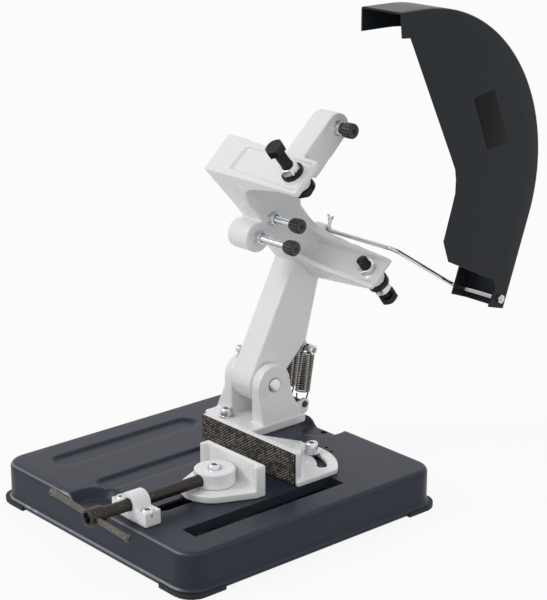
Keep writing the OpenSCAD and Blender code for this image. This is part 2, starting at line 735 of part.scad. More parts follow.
heading = [for (i = [0:count - 1]) unit(spring_path[min(i + 1, count - 1)] - spring_path[max(i - 1, 0)])];
// Each ring keeps the turn of the ring before it
function level(v, t) = unit(v - (v * t) * t);
ring_side = [for (i = 0, v = [1, 0, 0]; i < count; i = i + 1, v = level(v, heading[min(i, count - 1)])) v];
tube_points = [for (i = [0:count - 1])
    let (v = level(ring_side[i], heading[i]), w = cross(heading[i], v))
    for (k = [0:sides - 1]) let (t = 360 * k / sides)
        spring_path[i] + wire_d / 2 * (cos(t) * v + sin(t) * w)];
tube_faces = concat(
    [for (k = [1:sides - 2]) [0, k, k + 1]],
    [for (i = [0:count - 2], k = [0:sides - 1]) let (a = i * sides + k, b = i * sides + (k + 1) % sides)
        each [[a, a + sides, b], [b, a + sides, b + sides]]],
    [for (k = [1:sides - 2]) let (e = (count - 1) * sides) [e, e + k + 1, e + k]]);
least_gap = min([for (i = [0:count - 1], j = [i + 5:count - 1])
    norm(spring_path[i] - spring_path[j])]) - wire_d;
echo(spring_least_gap_to_itself = least_gap);

module spring(x) {
    translate([x, anchor_y, anchor_z]) rotate([-spring_lean, 0, 0]) polyhedron(tube_points, tube_faces);
}

module spring_near() color(brown_steel) placed() spring(near_x);

module spring_far() color(brown_steel) placed() spring(far_x);

// Swing arm: barrel, leg and wall are one outline, the fork arms stand out from the wall
leg_lean = 63.7; // slope of the leg's front edge
leg_touch = [pin_y - barrel_r * sin(leg_lean), pin_z + barrel_r * cos(leg_lean)];
front_bends = [61, 104, 146]; // heights of the bends along the head's front edge
back_bends = [107, 101, 69, 30]; // and along its back edge
leg_back = [[76, 102], [58, 35], [30, 8], [20, -13]]; // the leg's back edge, counted from the pin
arm_outline = concat([leg_touch, tilted(wall_p, front_bends[0]), tilted(wall_p + 1, front_bends[1]),
    tilted(fork_p - 1, front_bends[2]), tilted(fork_p, upper_h), tilted(fork_back_p + 5, upper_h),
    tilted(fork_back_p + 10, back_bends[0]), tilted(fork_back_p + 3, back_bends[1]),
    tilted(fork_back_p, back_bends[2]), tilted(fork_back_p - 1, back_bends[3])],
    [for (p = leg_back) [pin_y + p[0], pin_z + p[1]]]);
upper_plan = [[wall_x - over, fork_p], [tip_x, fork_p], [tip_x, fork_back_p],
    [wall_x - over, fork_back_p + 4]];
lower_plan = [[wall_x - over, fork_p - 2], [tip_x - 2, fork_p - 2], [tip_x - 2, fork_back_p - 5.5],
    [wall_x - over, fork_back_p]];
// Underside of the upper arm's ribs and top of the lower arm's ribs, as reach from the wall and height
upper_rib = [[-over, 150], [5, 170], [12.5, 182.8], [25, 190.1], [41.6, 195.3], [64.6, 200.8],
    [92.7, 206.4], [120, 208]];
lower_rib = [[-over, 84], [6, 67.7], [23.4, 59], [49.8, 55], [79, 52.3], [120, 48.6]];
lower_slope = [27, 45.6]; // height of the lower arm's outer face at the wall and at the tip

module upper_fork() {
    difference() {
        union() {
            in_head() difference() {
                union() {
                    flat(upper_h - upper_plate_t, upper_h) polygon(upper_plan);
                    intersection() {
                        flat(140, upper_h) polygon(upper_plan);
                        for (p = [fork_p, fork_back_p - rib_t]) front_on(p, p + rib_t)
                            translate([wall_x, 0])
                                polygon(concat(upper_rib, [[120, upper_h], [-over, upper_h]]));
                    }
                    flat(upper_h - 2 * outrigger_r, upper_h) translate([outrigger_x, fork_back_p - 4])
                        square([outrigger_w, rest_3[0] - fork_back_p + 4]);
                    along_x(outrigger_x, outrigger_right_x, rest_3[0], rest_3[1], outrigger_r);
                }
                // Shallow recess in the outer face
                flat(upper_floor_h, upper_h + over) polygon([[wall_x + 3, fork_p + 9],
                    [tip_x - 5, fork_p + 4], [tip_x - 5, fork_back_p - 4], [wall_x + 5, fork_back_p - 4]]);
            }
            at_upper_bolt() {
                upright(0, 0, -bolt_pad_rise - 5, 0, bolt_pad_r);
                upright(0, 0, -upper_boss_l, -5, bolt_boss_r);
            }
        }
        at_upper_bolt() upright(0, 0, -upper_boss_l - over, over, clamp_d / 2 + fit);
    }
}

module lower_fork() {
    difference() {
        union() {
            in_head() intersection() {
                flat(20, 90) polygon(lower_plan);
                union() {
                    front_on(fork_p - 4, fork_back_p + 4) polygon([[wall_x - over, lower_slope[0]],
                        [tip_x, lower_slope[1]], [tip_x, lower_floor_h], [wall_x - over, lower_floor_h]]);
                    for (p = [fork_p - 2, fork_back_p - 9]) front_on(p, p + 9 - 3)
                        translate([wall_x, 0]) polygon(concat(lower_rib, [[120, 47], [-over, 40]]));
                    front_on(fork_back_p - 6, fork_back_p) translate([wall_x, 0])
                        polygon([[-over, 84], [6, 67.7], [23.4, 59], [44, 56], [44, 44], [-over, 40]]);
                }
            }
            at_lower_bolt() upright(0, 0, 0, lower_boss_l, bolt_boss_r);
        }
        at_lower_bolt() upright(0, 0, -over, lower_boss_l + over, clamp_d / 2 + fit);
    }
}

// The rod's lock screw stands on the rod's axis and leans with the head
module at_rod_screw() {
    translate([rod_screw_x, rod_y, rod_z]) rotate([lean - 90, 0, 0]) children();
}

module swing_arm() color(iron) placed() difference() {
    union() {
        side_on(arm_left_x, wall_x) polygon(arm_outline);
        along_x(arm_left_x, wall_x, pin_y, pin_z, barrel_r);
        along_x(arm_left_x, wall_x, tilted(boss_p, boss_h)[0], tilted(boss_p, boss_h)[1], boss_r);
        upper_fork();
        lower_fork();
        along_x(rod_boss_x, wall_x + rod_boss_l, rod_y, rod_z, rod_boss_r);
        side_on(arm_x - 3.5, arm_x + 3.5) {
            translate([post_y, post_z]) circle(8);
            polygon([[pin_y + 38, pin_z + 10], [post_y - 2, post_z - 7.7], [post_y + 7, post_z + 4],
                [pin_y + 58, pin_z + 42]]);
        }
    }
    along_x(arm_left_x - over, wall_x + over, pin_y, pin_z, pin_d / 2 + fit);
    along_x(arm_x - 10, arm_x + 10, post_y, post_z, bar_d / 2 + fit);
    for (at = [tilted(rest_1[0], rest_1[1]), tilted(rest_2[0], rest_2[1])])
        along_x(arm_left_x - over, wall_x + over, at[0], at[1], stud_d / 2 + fit);
    along_x(outrigger_x - over, outrigger_right_x + over, tilted(rest_3[0], rest_3[1])[0],
        tilted(rest_3[0], rest_3[1])[1], stud_d / 2 + fit);
    along_x(rod_start_x - over, wall_x + rod_boss_l + over, rod_y, rod_z, rod_d / 2 + fit);
    at_rod_screw() cylinder(r = rod_screw_r, h = rod_boss_r + over);
}

// Fork bolts point into the fork from both sides
module clamp_bolt(l) {
    hex(clamp_af, clamp_head_h);
    translate([0, 0, -l]) cylinder(d = clamp_d, h = l);
}

upper_bolt_stand = 33; // from the arm's pad to the underside of the bolt's head
lower_bolt_stand = 24;
clamp_bore = clamp_d + 2 * fit;

module upper_bolt() color(black) placed() at_upper_bolt() translate([0, 0, upper_bolt_stand])
    clamp_bolt(upper_bolt_l);

module lower_bolt() color(black) placed() at_lower_bolt() translate([0, 0, -lower_bolt_stand])
    mirror([0, 0, 1]) clamp_bolt(lower_bolt_l);

// Black washers lie against the fork, and the nuts lock each bolt against them
module fork_washers() color(black) placed() {
    at_upper_bolt() {
        washer(2 * clamp_d, clamp_bore, clamp_washer_t);
        translate([0, 0, -upper_boss_l - clamp_spacer_t]) washer(2 * clamp_d, clamp_bore, clamp_spacer_t);
    }
    at_lower_bolt() translate([0, 0, -clamp_spacer_t]) washer(2 * clamp_d, clamp_bore, clamp_spacer_t);
}

module upper_nut() color(zinc) placed() at_upper_bolt()
    translate([0, 0, clamp_washer_t + seam]) hex_nut(clamp_af, clamp_nut_h, clamp_bore);

module lower_nuts() color(zinc) placed() at_lower_bolt() {
    translate([0, 0, lower_boss_l + seam]) hex_nut(clamp_af, jam_nut_h, clamp_bore);
    translate([0, 0, -clamp_spacer_t - clamp_nut_h - seam]) hex_nut(clamp_af, clamp_nut_h, clamp_bore);
}

// Rests for the grinder's body: a stud through the casting, locked by a nut, with a rubber cap
rests = [[wall_x, rest_1, rest_reach[0]], [wall_x, rest_2, rest_reach[1]],
    [outrigger_right_x, rest_3, rest_reach[2]]];
stud_in = [22, 22, 14]; // how far each stud runs into the casting

module at_rest(i) {
    at = tilted(rests[i][1][0], rests[i][1][1]);
    translate([rests[i][0], at[0], at[1]]) rotate([0, 90, 0]) children();
}

module rest_stud(i) {
    at_rest(i) translate([0, 0, -stud_in[i]])
        cylinder(d = stud_d, h = stud_in[i] + rests[i][2] - pad_l / 2);
}

module rest_cap(i) {
    at_rest(i) difference() {
        translate([0, 0, rests[i][2] - pad_l]) cylinder(d = pad_d, h = pad_l);
        translate([0, 0, rests[i][2] - pad_l - over]) cylinder(d = stud_d, h = pad_l / 2 + over);
    }
}

module rest_nuts() color(zinc) placed() for (i = [0:2]) at_rest(i) {
    washer(stud_d * 2.2, stud_d + 2 * fit, 1);
    translate([0, 0, 1 + seam]) hex_nut(stud_d * 1.6, rest_nut_h - 1, stud_d + 2 * fit);
}

module rest_stud_1() color(zinc) placed() rest_stud(0);
module rest_cap_1() color(black) placed() rest_cap(0);
module rest_stud_2() color(zinc) placed() rest_stud(1);
module rest_cap_2() color(black) placed() rest_cap(1);
module rest_stud_3() color(zinc) placed() rest_stud(2);
module rest_cap_3() color(black) placed() rest_cap(2);

module rod_lock_screw() color(zinc) placed() at_rod_screw() {
    upright(0, 0, rod_d / 2 + 0.1, rod_boss_r + 3, rod_screw_r);
    upright(0, 0, rod_boss_r + 1, rod_boss_r + 5, 2.2);
    translate([0, 0, rod_boss_r + 5.5]) cube([8, 1.6, 4], center = true);
}

// Guard
rod_points = [[rod_start_x, rod_y, rod_z], [rod_bend_x, rod_y, rod_z],
    [rod_cross_x, guard_end_y, guard_end_z], [rod_tip_x, guard_end_y, guard_end_z]];

// The slanting stretch is drawn between the two straight ones, which run a little past the bends
module guard_rod() color(zinc) placed() {
    past = rod_d * 0.37;
    slant = rod_points[2] - rod_points[1];
    along_x(rod_points[0][0], rod_bend_x + past, rod_y, rod_z, rod_d / 2);
    along_x(rod_cross_x - past, rod_tip_x, guard_end_y, guard_end_z, rod_d / 2);
    translate(rod_points[1]) rotate([0, 0, atan2(slant[1], slant[0])])
        rotate([0, acos(slant[2] / norm(slant)), 0]) cylinder(d = rod_d - 0.1, h = norm(slant));
}

module rod_nuts() color(zinc) placed()
    for (x = [guard_left_x - rod_nut_t - slide_gap, guard_right_x + slide_gap])
        translate([x, guard_end_y, guard_end_z]) rotate([0, 90, 0]) hex_nut(rod_d * 1.8, rod_nut_t, rod_d);

// The rim's path at a depth inside its outer face: straight top, arc, straight tail
function rim_path(depth) = let (r = guard_r - depth) concat([[guard_y - 35.3, guard_z + r]],
    arc(guard_y, guard_z, r, 90, tail_angle, 28),
    [[guard_y + r * cos(tail_angle) + tail_l * sin(tail_angle),
        guard_z + r * sin(tail_angle) - tail_l * cos(tail_angle)]]);
function backward(v) = [for (i = [len(v) - 1:-1:0]) v[i]];
// Inner edge of the wide cheek, from the tail's end round to the front
cheek_inner = [[103.6, -150.1], [113.4, -130.1], [110.5, -122.4], [41, -88.7], [33, -66],
    [43.7, -33.1], [48.3, -18.3], [48.7, -4.4], [47.2, 6.8], [41.4, 19], [-21.4, 147.2], [-33.1, 148]];

module guard_shell() color(slate) placed() difference() {
    union() {
        side_on(guard_left_x, guard_right_x) polygon(concat(rim_path(0), backward(rim_path(guard_t))));
        side_on(guard_left_x, guard_left_x + guard_t)
            polygon(concat(rim_path(0), backward(rim_path(flange_d))));
        side_on(guard_right_x - guard_t, guard_right_x)
            polygon(concat(rim_path(0), [for (p = cheek_inner) [guard_y + p[0], guard_z + p[1]]]));
    }
    along_x(guard_left_x - over, guard_right_x + over, guard_end_y, guard_end_z, rod_d / 2 + fit);
}

base_tray();
corner_feet();
screw_block();
screw_block_bolts();
screw_block_nuts();
vise_screw();
tommy_bar();
swivel_block();
swivel_bolt();
swivel_guide();
moving_jaw();
fixed_jaw();
knurled_plate();
fence_clamp_screw();
fence_clamp_nut();
fence_pivot_screw();
hinge_bracket();
bracket_bolts();
bracket_nuts();
hinge_pin();
pin_lock_screw();
spring_anchor();
spring_near();
spring_far();
swing_arm();
spring_post();
fork_washers();
upper_nut();
lower_nuts();
upper_bolt();
lower_bolt();
rest_nuts();
rest_stud_1();
rest_cap_1();
rest_stud_2();
rest_cap_2();
rest_stud_3();
rest_cap_3();
rod_lock_screw();
guard_rod();
rod_nuts();
guard_shell();
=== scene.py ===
# %% [markdown]
# # A bench stand for an angle grinder
# The stand turns a hand grinder into a small chop saw. A pressed steel tray carries a screw vise and a
# hinge bracket. A cast arm swings on the bracket, pulled up by two springs, and ends in a fork that grips
# the grinder. A sheet guard on a bent rod covers the wheel.
#
# The solid model gives every piece its true size. This file dresses those pieces: it works out fuller
# surfaces with numpy, rounds the castings, and mixes a procedural finish for each metal, paint and rubber.

# %% Load the solid model
import bmesh
import bpy
import numpy as np
from mathutils import Matrix, Vector
from mathutils.geometry import delaunay_2d_cdt


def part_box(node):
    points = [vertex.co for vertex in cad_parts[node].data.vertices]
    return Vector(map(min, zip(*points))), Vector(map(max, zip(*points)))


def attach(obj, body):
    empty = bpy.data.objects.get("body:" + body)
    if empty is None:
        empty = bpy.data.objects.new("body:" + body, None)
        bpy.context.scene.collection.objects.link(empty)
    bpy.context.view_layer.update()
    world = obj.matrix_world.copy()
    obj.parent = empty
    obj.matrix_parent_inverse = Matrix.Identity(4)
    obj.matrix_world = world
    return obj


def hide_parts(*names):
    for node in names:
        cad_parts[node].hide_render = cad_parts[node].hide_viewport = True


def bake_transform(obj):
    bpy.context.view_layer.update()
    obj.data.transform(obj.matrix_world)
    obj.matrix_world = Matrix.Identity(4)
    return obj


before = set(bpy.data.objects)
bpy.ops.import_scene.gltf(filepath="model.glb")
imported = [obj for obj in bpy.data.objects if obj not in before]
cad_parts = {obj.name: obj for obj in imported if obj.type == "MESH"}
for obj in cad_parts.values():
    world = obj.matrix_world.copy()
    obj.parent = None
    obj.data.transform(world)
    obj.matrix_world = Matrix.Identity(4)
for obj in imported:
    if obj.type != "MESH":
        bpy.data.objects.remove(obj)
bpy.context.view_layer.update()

# %% [markdown]
# ## Measures
# All lengths below are millimetres in the stand's drawing, whose origin is the middle of the tray on the
# bench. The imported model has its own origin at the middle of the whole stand, so every point moves by
# `MIDDLE` and is scaled to metres in one place only, when it is put into a mesh.

# %% Shared measures
MM = 0.001
MIDDLE = np.array([0, 59.25, 0])
TOP_Z, SHEET = 44.2, 2.5        # top of the tray, and its thickness
UNDER_Z = TOP_Z - SHEET
WALL_X = -49.0                  # right face of the swing arm
VISE_X, SCREW_Z = 52.0, 60.2    # the vise screw's axis
PIN_Y, PIN_Z = 110.0, 93.7      # the hinge pin's axis
HEAD_LEAN, BOLT_LEAN = np.radians(43), np.radians(40)
UPPER_H, LOWER_H = 212.1, 29.0  # across the head: the fork's upper face, and the lower bolt's seat
CLEAR = 0.2                     # gap between faces that slide, and a washer's play


def tilted(p, h):
    """Depth and height of a point of the leaning head, p along its plane and h at right angles to it."""
    c, s = np.cos(HEAD_LEAN), np.sin(HEAD_LEAN)
    return np.array([p * c - h * s, p * s + h * c])


def solid_box(node):
    """Lowest and highest corner of a solid, in the drawing."""
    return [np.array(corner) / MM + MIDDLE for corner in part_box(node)]


print("upper end of the head", np.round(tilted(309, UPPER_H), 1))

# %% [markdown]
# ## From arrays to a mesh
# A surface here is a grid of points: rows along one parameter, columns along the other. One helper joins
# the grid into four-sided faces, and another puts points and faces into a mesh. Points that fall together,
# as at the pole of a turned part, are merged, and the faces are turned outwards.

# %% Grid faces and meshes
def grid_faces(rows, cols, wrap=False, first=0):
    """Faces between neighbouring rows and columns of a grid; wrap joins the last column to the first."""
    r, c = np.meshgrid(np.arange(rows - 1), np.arange(cols if wrap else cols - 1), indexing="ij")
    d = (c + 1) % cols
    corners = [r * cols + c, r * cols + d, (r + 1) * cols + d, (r + 1) * cols + c]
    return first + np.stack(corners, -1).reshape(-1, 4)


WELD, THINNEST = 2e-6, 1e-7     # metres: points closer than the first are one, shorter edges are dropped


def to_mesh(name, points, faces, closed=True):
    """Moves millimetre points to the model's frame in metres, welds doubles and makes a mesh object."""
    mesh = bpy.data.meshes.new(name)
    points = (np.asarray(points, float) - MIDDLE) * MM
    mesh.from_pydata(points.tolist(), [], [list(map(int, face)) for face in faces])
    edit = bmesh.new()
    edit.from_mesh(mesh)
    bmesh.ops.remove_doubles(edit, verts=edit.verts, dist=WELD)
    bmesh.ops.dissolve_degenerate(edit, edges=edit.edges, dist=THINNEST)
    if closed:
        bmesh.ops.recalc_face_normals(edit, faces=edit.faces)
    edit.to_mesh(mesh)
    edit.free()
    piece = bpy.data.objects.new(name, mesh)
    bpy.context.scene.collection.objects.link(piece)
    return piece


def joined(name, *parts):
    """One mesh from pairs of a place and a surface's points and faces, such as two screws of a kind."""
    points, faces, count = [], [], 0
    for place, (own, own_faces) in parts:
        points.append(place(own) if place else own)
        faces += [tuple(int(i) + count for i in f) for f in own_faces]
        count += len(own)
    return to_mesh(name, np.concatenate(points), faces)


def soften(piece, angle):
    """Smooth shading, with a crease wherever two faces meet at more than the angle."""
    with bpy.context.temp_override(object=piece, selected_editable_objects=[piece], active_object=piece):
        bpy.ops.object.shade_smooth_by_angle(angle=np.radians(angle), keep_sharp_edges=True)


print("grid of 3 by 4 points has", len(grid_faces(3, 4)), "faces")

# %% [markdown]
# Some meshes are worked on after they are made: a number is stored at each point for the finish to read,
# the points are moved, or what the modifiers do is worked in.

# %% Numbers on points, moved points and applied modifiers
def points_of(piece):
    """A mesh's points in the drawing."""
    points = np.zeros(len(piece.data.vertices) * 3)
    piece.data.vertices.foreach_get("co", points)
    return points.reshape(-1, 3) / MM + MIDDLE


def marked(piece, name, value_of):
    """Stores value_of(points) as an attribute of the mesh's points."""
    values = value_of(points_of(piece))
    piece.data.attributes.new(name, "FLOAT", "POINT").data.foreach_set("value", values.astype(np.float32))
    return piece


def moved(piece, move):
    """Replaces the mesh's points by move(points)."""
    piece.data.vertices.foreach_set("co", ((move(points_of(piece)) - MIDDLE) * MM).ravel())
    piece.data.update()


def applied(piece):
    """The piece with what its modifiers do worked into its mesh."""
    bpy.context.view_layer.update()
    final = bpy.data.meshes.new_from_object(piece.evaluated_get(bpy.context.evaluated_depsgraph_get()))
    piece.modifiers.clear()
    piece.data = final
    final.name = piece.name
    return piece


print("points are stored in metres, and", MM, "of a metre is the drawing's unit")

# %% [markdown]
# ## Places
# A bolt is drawn standing on its own origin, with its axis up, and then laid along the direction it has on
# the stand. `Place` keeps that origin and direction and moves an array of points in one step.

# %% A piece's own frame
class Place:
    """Origin, axis (local up) and side (local right): origin + x side + y (axis x side) + z axis."""

    def __init__(self, origin, axis=(0, 0, 1), side=(1, 0, 0)):
        self.origin, self.axis, side = np.array(origin, float), np.array(axis, float), np.array(side, float)
        side -= self.axis * (side @ self.axis)
        self.side = side / np.linalg.norm(side)
        self.basis = np.stack([self.side, np.cross(self.axis, self.side), self.axis])

    def __call__(self, points):
        return self.origin + np.asarray(points, float) @ self.basis

    def local(self, points):
        """Radius, height along the axis and angle round it, of points in the drawing."""
        x, y, z = ((points - self.origin) @ self.basis.T).T
        return np.hypot(x, y), z, np.arctan2(y, x)

    def shifted(self, along):
        return Place(self.origin + along * self.axis, self.axis, self.side)


def across_stand(x, y, z):
    """A place whose axis runs to the operator's right."""
    return Place([x, y, z], (1, 0, 0), (0, 1, 0))


BOLT_UP = np.array([0, -np.sin(BOLT_LEAN), np.cos(BOLT_LEAN)])
upper_seat = Place([42.5, *tilted(288.4, UPPER_H)], BOLT_UP).shifted(0.8)
lower_seat = Place([39.6, *tilted(284.2, LOWER_H)], BOLT_UP)
print("fork bolts start at", np.round(upper_seat.origin, 1), "and", np.round(lower_seat.origin, 1))

# %% [markdown]
# ## Turned parts
# Screws, studs, caps and washers are all turned on a lathe. Their surface is a function of two parameters:
# a step along the outline, and an angle round the axis. The radius may also depend on the angle, which
# gives hexagons, threads, knurls and ribs from the same function. Modelling a screw from a cylinder and
# cutting it would need booleans; a formula is exact and stays light.

# %% The lathe
ROUND, KNURL, HEX, CHAMFER, THREAD, MOUTH = range(6)    # what a row of an outline becomes round the axis
CONE = 1 / np.tan(np.radians(30))       # how fast a chamfer's radius grows away from the end face


def hexagon(across, theta):
    """Radius of a hexagon of that width: half of it over the cosine to the nearest flat."""
    return across / 2 / np.cos((theta + np.pi / 6) % (np.pi / 3) - np.pi / 6)


def thread(pitch, depth, z, theta):
    """Depth of a thread's groove: a triangle wave of height minus one turn's share of the angle."""
    phase = (z / pitch - theta / (2 * np.pi)) % 1
    return depth * np.abs(2 * phase - 1)


def turned(outline, sides, across=0.0, ends=(0.0, 0.0), groove=(1.0, 0.0), form=None):
    """Rows of radius, height and kind carried round the axis.

    The radius goes by the kind. A knurl or a mouth is a wave and a hexagon has a width across. A chamfer is that
    hexagon or the cones from its two ends, whichever is less. A thread is less by a groove of a pitch and a
    depth. form(r, z, theta) gives any other radius.
    """
    rows = np.array([(*row, ROUND)[:3] for row in outline], float)
    theta = np.arange(sides) * 2 * np.pi / sides
    r, z, kind = (np.repeat(column[:, None], sides, 1) for column in rows.T)
    flats = hexagon(across, theta)
    cone = across / 2 * 0.94 + np.minimum(z - ends[0], ends[1] - z) * CONE
    shapes = {KNURL: r * (1 + 0.014 * np.cos(36 * theta)), MOUTH: r * (1 + 0.10 * np.cos(6 * theta)),
              HEX: flats, CHAMFER: np.minimum(flats, cone), THREAD: r - thread(*groove, z, theta)}
    for one, shape in shapes.items():
        r = np.where(kind == one, shape, r)
    if form:
        r = form(r, z, theta)
    points = np.stack([r * np.cos(theta), r * np.sin(theta), z], -1).reshape(-1, 3)
    return points, grid_faces(len(rows), sides, wrap=True)


def rows_along(r, a, b, step, kind=ROUND):
    """Outline rows of one radius from height a to height b, about a step apart."""
    return [(r, z, kind) for z in np.linspace(a, b, max(2, int(abs(b - a) / step) + 1))]


def mirrored(rows, length):
    """The same rows in reverse at the other end of a bar of that length."""
    return [(r, length - z) for r, z in rows[::-1]]


print("hexagon of 13 mm: corner radius", round(float(hexagon(13, np.pi / 6)), 2))

# %% [markdown]
# Three fasteners cover most of the stand: a socket cap screw with a knurled head, a hexagon bolt or nut
# whose corners are turned off to a cone, and a plain washer with broken edges.

# %% Cap screws, nuts, bolts and washers
STEPS = [0, 0.12, 0.3, 0.55, 0.9]       # heights of a chamfer's rows


def cap_screw(d, length, sides=72):
    """Head of 13/8 diameters with 36 knurls, a hexagon socket, and a shank below the origin."""
    head, depth, across = d * 13 / 16, 0.6 * d, 0.75 * d
    outline = [(0, -length), (d / 2 - 0.6, -length), (d / 2, -length + 0.7), (d / 2, -0.1),
               (d / 2 + 0.2, 0), (head - 0.4, 0), (head, 0.5, KNURL), (head, d - 1.1, KNURL),
               (head - 0.25, d - 0.7), (head - 0.9, d - 0.05), (head - 1.2, d),
               (across * 0.62, d), (0, d - 0.5, HEX), (0, d - depth, HEX), (0, d - depth - 0.6)]
    return turned(outline, sides, across)


def hex_nut(across, height, bore, sides=72):
    """A nut from height 0: bore, hexagon cut by a cone at both ends, and a countersunk mouth at both ends."""
    outside = [(0, z, CHAMFER) for z in STEPS] + [(0, height - z, CHAMFER) for z in STEPS[::-1]]
    outline = [(bore / 2, height / 2), (bore / 2, 0.5), (bore / 2 + 0.5, 0), *outside,
               (bore / 2 + 0.5, height), (bore / 2, height - 0.5), (bore / 2, height / 2)]
    return turned(outline, sides, across, (0, height))


def hex_bolt(across, head, d, length, pitch, sides=72):
    """A bolt: head above the origin, and a threaded shank with a domed tip below it."""
    tip = [(0, 0), (1.6, 0.05), (2.9, 0.25), (3.9, 0.6), (4.7, 1.1)]
    outline = [*[(r * d / 12, z - length) for r, z in tip],
               *rows_along(d / 2, -length + 1.4, -0.6, pitch / 6, THREAD), (d / 2, 0), (across / 2 * 0.9, 0),
               (0, 0.01, HEX), *[(0, head - z, CHAMFER) for z in [1.3] + STEPS[::-1]],
               (across / 2 * 0.8, head), (across / 2 * 0.72, head - 0.35), (0, head - 0.35)]
    return turned(outline, sides, across, (-np.inf, head), (pitch, 0.75))


def washer(outer, bore, t, sides=48):
    """A flat ring from height 0 with its edges broken by 0.3 mm."""
    e = min(0.3, t / 3)
    a, b = bore / 2, outer / 2
    lower = [(a, t / 2), (a, e), (a + e, 0), (b - e, 0), (b, e)]
    return turned(lower + mirrored(lower, t), sides)


print("points in a cap screw and a nut:", len(cap_screw(8, 20)[0]), len(hex_nut(13, 6.4, 8)[0]))

# %% [markdown]
# ## Shader maths in plain Python
# A material is a small program. To write it as one, `Wire` wraps a socket and overloads the operators, so
# `1 - mask * 0.4` adds the Math nodes by itself. Colours go through Mix nodes, because a Math node would
# turn them grey. One method makes any other node: its settings first, then what goes into its sockets.

# %% Wires, nodes and finishes
class Wire:
    """A socket's value. Arithmetic on it adds Math nodes to its tree."""

    def __init__(self, maker, socket):
        self.maker, self.socket = maker, socket

    def maths(self, operation, *values):
        """One Math node. Without other values it works on the wire itself."""
        return self.maker.node("Math", {"operation": operation}, *(values or (self,)))

    def __add__(self, other): return self.maths("ADD", self, other)
    def __radd__(self, other): return self.maths("ADD", other, self)
    def __sub__(self, other): return self.maths("SUBTRACT", self, other)
    def __rsub__(self, other): return self.maths("SUBTRACT", other, self)
    def __mul__(self, other): return self.maths("MULTIPLY", self, other)
    def __rmul__(self, other): return self.maths("MULTIPLY", other, self)
    def __truediv__(self, other): return self.maths("DIVIDE", self, other)
    def __rtruediv__(self, other): return self.maths("DIVIDE", other, self)


class Nodes:
    """A tree of nodes, and the methods that add to it."""

    def __init__(self, tree):
        self.tree = tree

    def feed(self, node, values):
        """Puts each value, or the wire's link, into the socket of that name or number."""
        for key, value in values.items():
            socket = node.inputs[key]
            if isinstance(value, Wire):
                self.tree.links.new(value.socket, socket)
            elif hasattr(socket.default_value, "__len__"):
                value = list(value)
                socket.default_value = value + [1.0] * (len(socket.default_value) - len(value))
            else:
                socket.default_value = value

    def node(self, kind, settings, *values, out=0, **named):
        """Makes a node: settings first, then its sockets by number or by name. Gives one of its outputs."""
        made = self.tree.nodes.new("ShaderNode" + kind)
        for key, value in settings.items():
            setattr(made, key, value)
        self.feed(made, {**dict(enumerate(values)), **{k.replace("_", " "): v for k, v in named.items()}})
        return Wire(self, made.outputs[out])

    def seen_directly(self):
        """1 for a ray from the camera, a mirror or glass, and 0 for light that a surface gathers."""
        camera, mirror, glass = (self.node("LightPath", {}, out=f"Is {ray} Ray")
                                 for ray in ("Camera", "Glossy", "Transmission"))
        return camera.maths("MAXIMUM", camera, camera.maths("MAXIMUM", mirror, glass))


class Finish(Nodes):
    """One material: a Principled surface whose colour, roughness and bump come from wires."""

    def __init__(self, name, **constants):
        self.material = bpy.data.materials.new(name)
        self.material.use_nodes = True
        super().__init__(self.material.node_tree)
        self.surface = next(n for n in self.tree.nodes if n.type == "BSDF_PRINCIPLED")
        self.place = self.node("TexCoord", {}, out="Object")
        self.feed(self.surface, {k.replace("_", " "): v for k, v in constants.items()})

    def noise(self, scale, detail=3.0, roughness=0.5):
        return self.node("TexNoise", {}, Vector=self.place, Scale=scale, Detail=detail, Roughness=roughness)

    def mark(self, name):
        """A number that the mesh stores at its points."""
        return self.node("Attribute", {"attribute_name": name}, out="Fac")

    def ramp(self, value, low, high):
        """Rises smoothly from 0 at low to 1 at high."""
        return self.node("MapRange", {"interpolation_type": "SMOOTHSTEP"}, value, low, high, 0.0, 1.0)

    def mix(self, amount, a, b):
        """Colour a where the amount is 0 and colour b where it is 1."""
        mixed = self.tree.nodes.new("ShaderNodeMix")
        mixed.data_type = "RGBA"
        self.feed(mixed, {0: amount, 6: a, 7: b})
        return Wire(self, mixed.outputs[2])

    def finished(self, colour, rough, bump=None):
        """Joins the wires to the surface. bump is (height in metres, strength)."""
        self.feed(self.surface, {"Base Color": colour, "Roughness": rough})
        if bump is not None:
            normal = self.node("Bump", {}, Height=bump[0], Strength=bump[1], Distance=1.0)
            self.feed(self.surface, {"Normal": normal})
        return self.material


print("finishes are written as wires")

# %% [markdown]
# ## Paints
# The tray and guard wear a satin slate enamel with a very fine orange peel. The castings are sprayed a
# glossy white over a slightly uneven cast skin. A single flat colour would look like plastic, so each paint
# mixes two close tones over a slow noise, and its gloss varies with a second one. The tray's edges carry
# a painted pale highlight, mostly along the front.

# %% Paint finishes
def enamel(name, colour, tone, rough, peel, cast, coat, gloss, edge=None):
    """Two tones over a slow noise, a peel and a slower unevenness in the bump, and a painted edge highlight."""
    f = Finish(name, Coat_Roughness=0.12, Coat_Weight=coat, Specular_IOR_Level=gloss)
    drift, grain = f.noise(9.0, 4.0), f.noise(620.0, 2.0)
    skin = f.noise(75.0, 3.0)
    # Patches that roughen the paint and break up the painted edge highlight.
    rub_and_highlight_patches = f.ramp(f.noise(38.0, 6.0, 0.62), 0.58, 0.72)
    colour = f.mix(drift * 0.75 + grain * 0.25, colour, tone)
    if edge:
        # Painted highlight: the pale edge colour where the mesh marks the edges, in patches.
        colour = f.mix(f.mark("painted_edge_highlight") * (0.45 + rub_and_highlight_patches * 0.55), colour, edge)
    return f.finished(colour, rough + grain * 0.10 + rub_and_highlight_patches * 0.05, (grain * peel + skin * cast, 0.9))


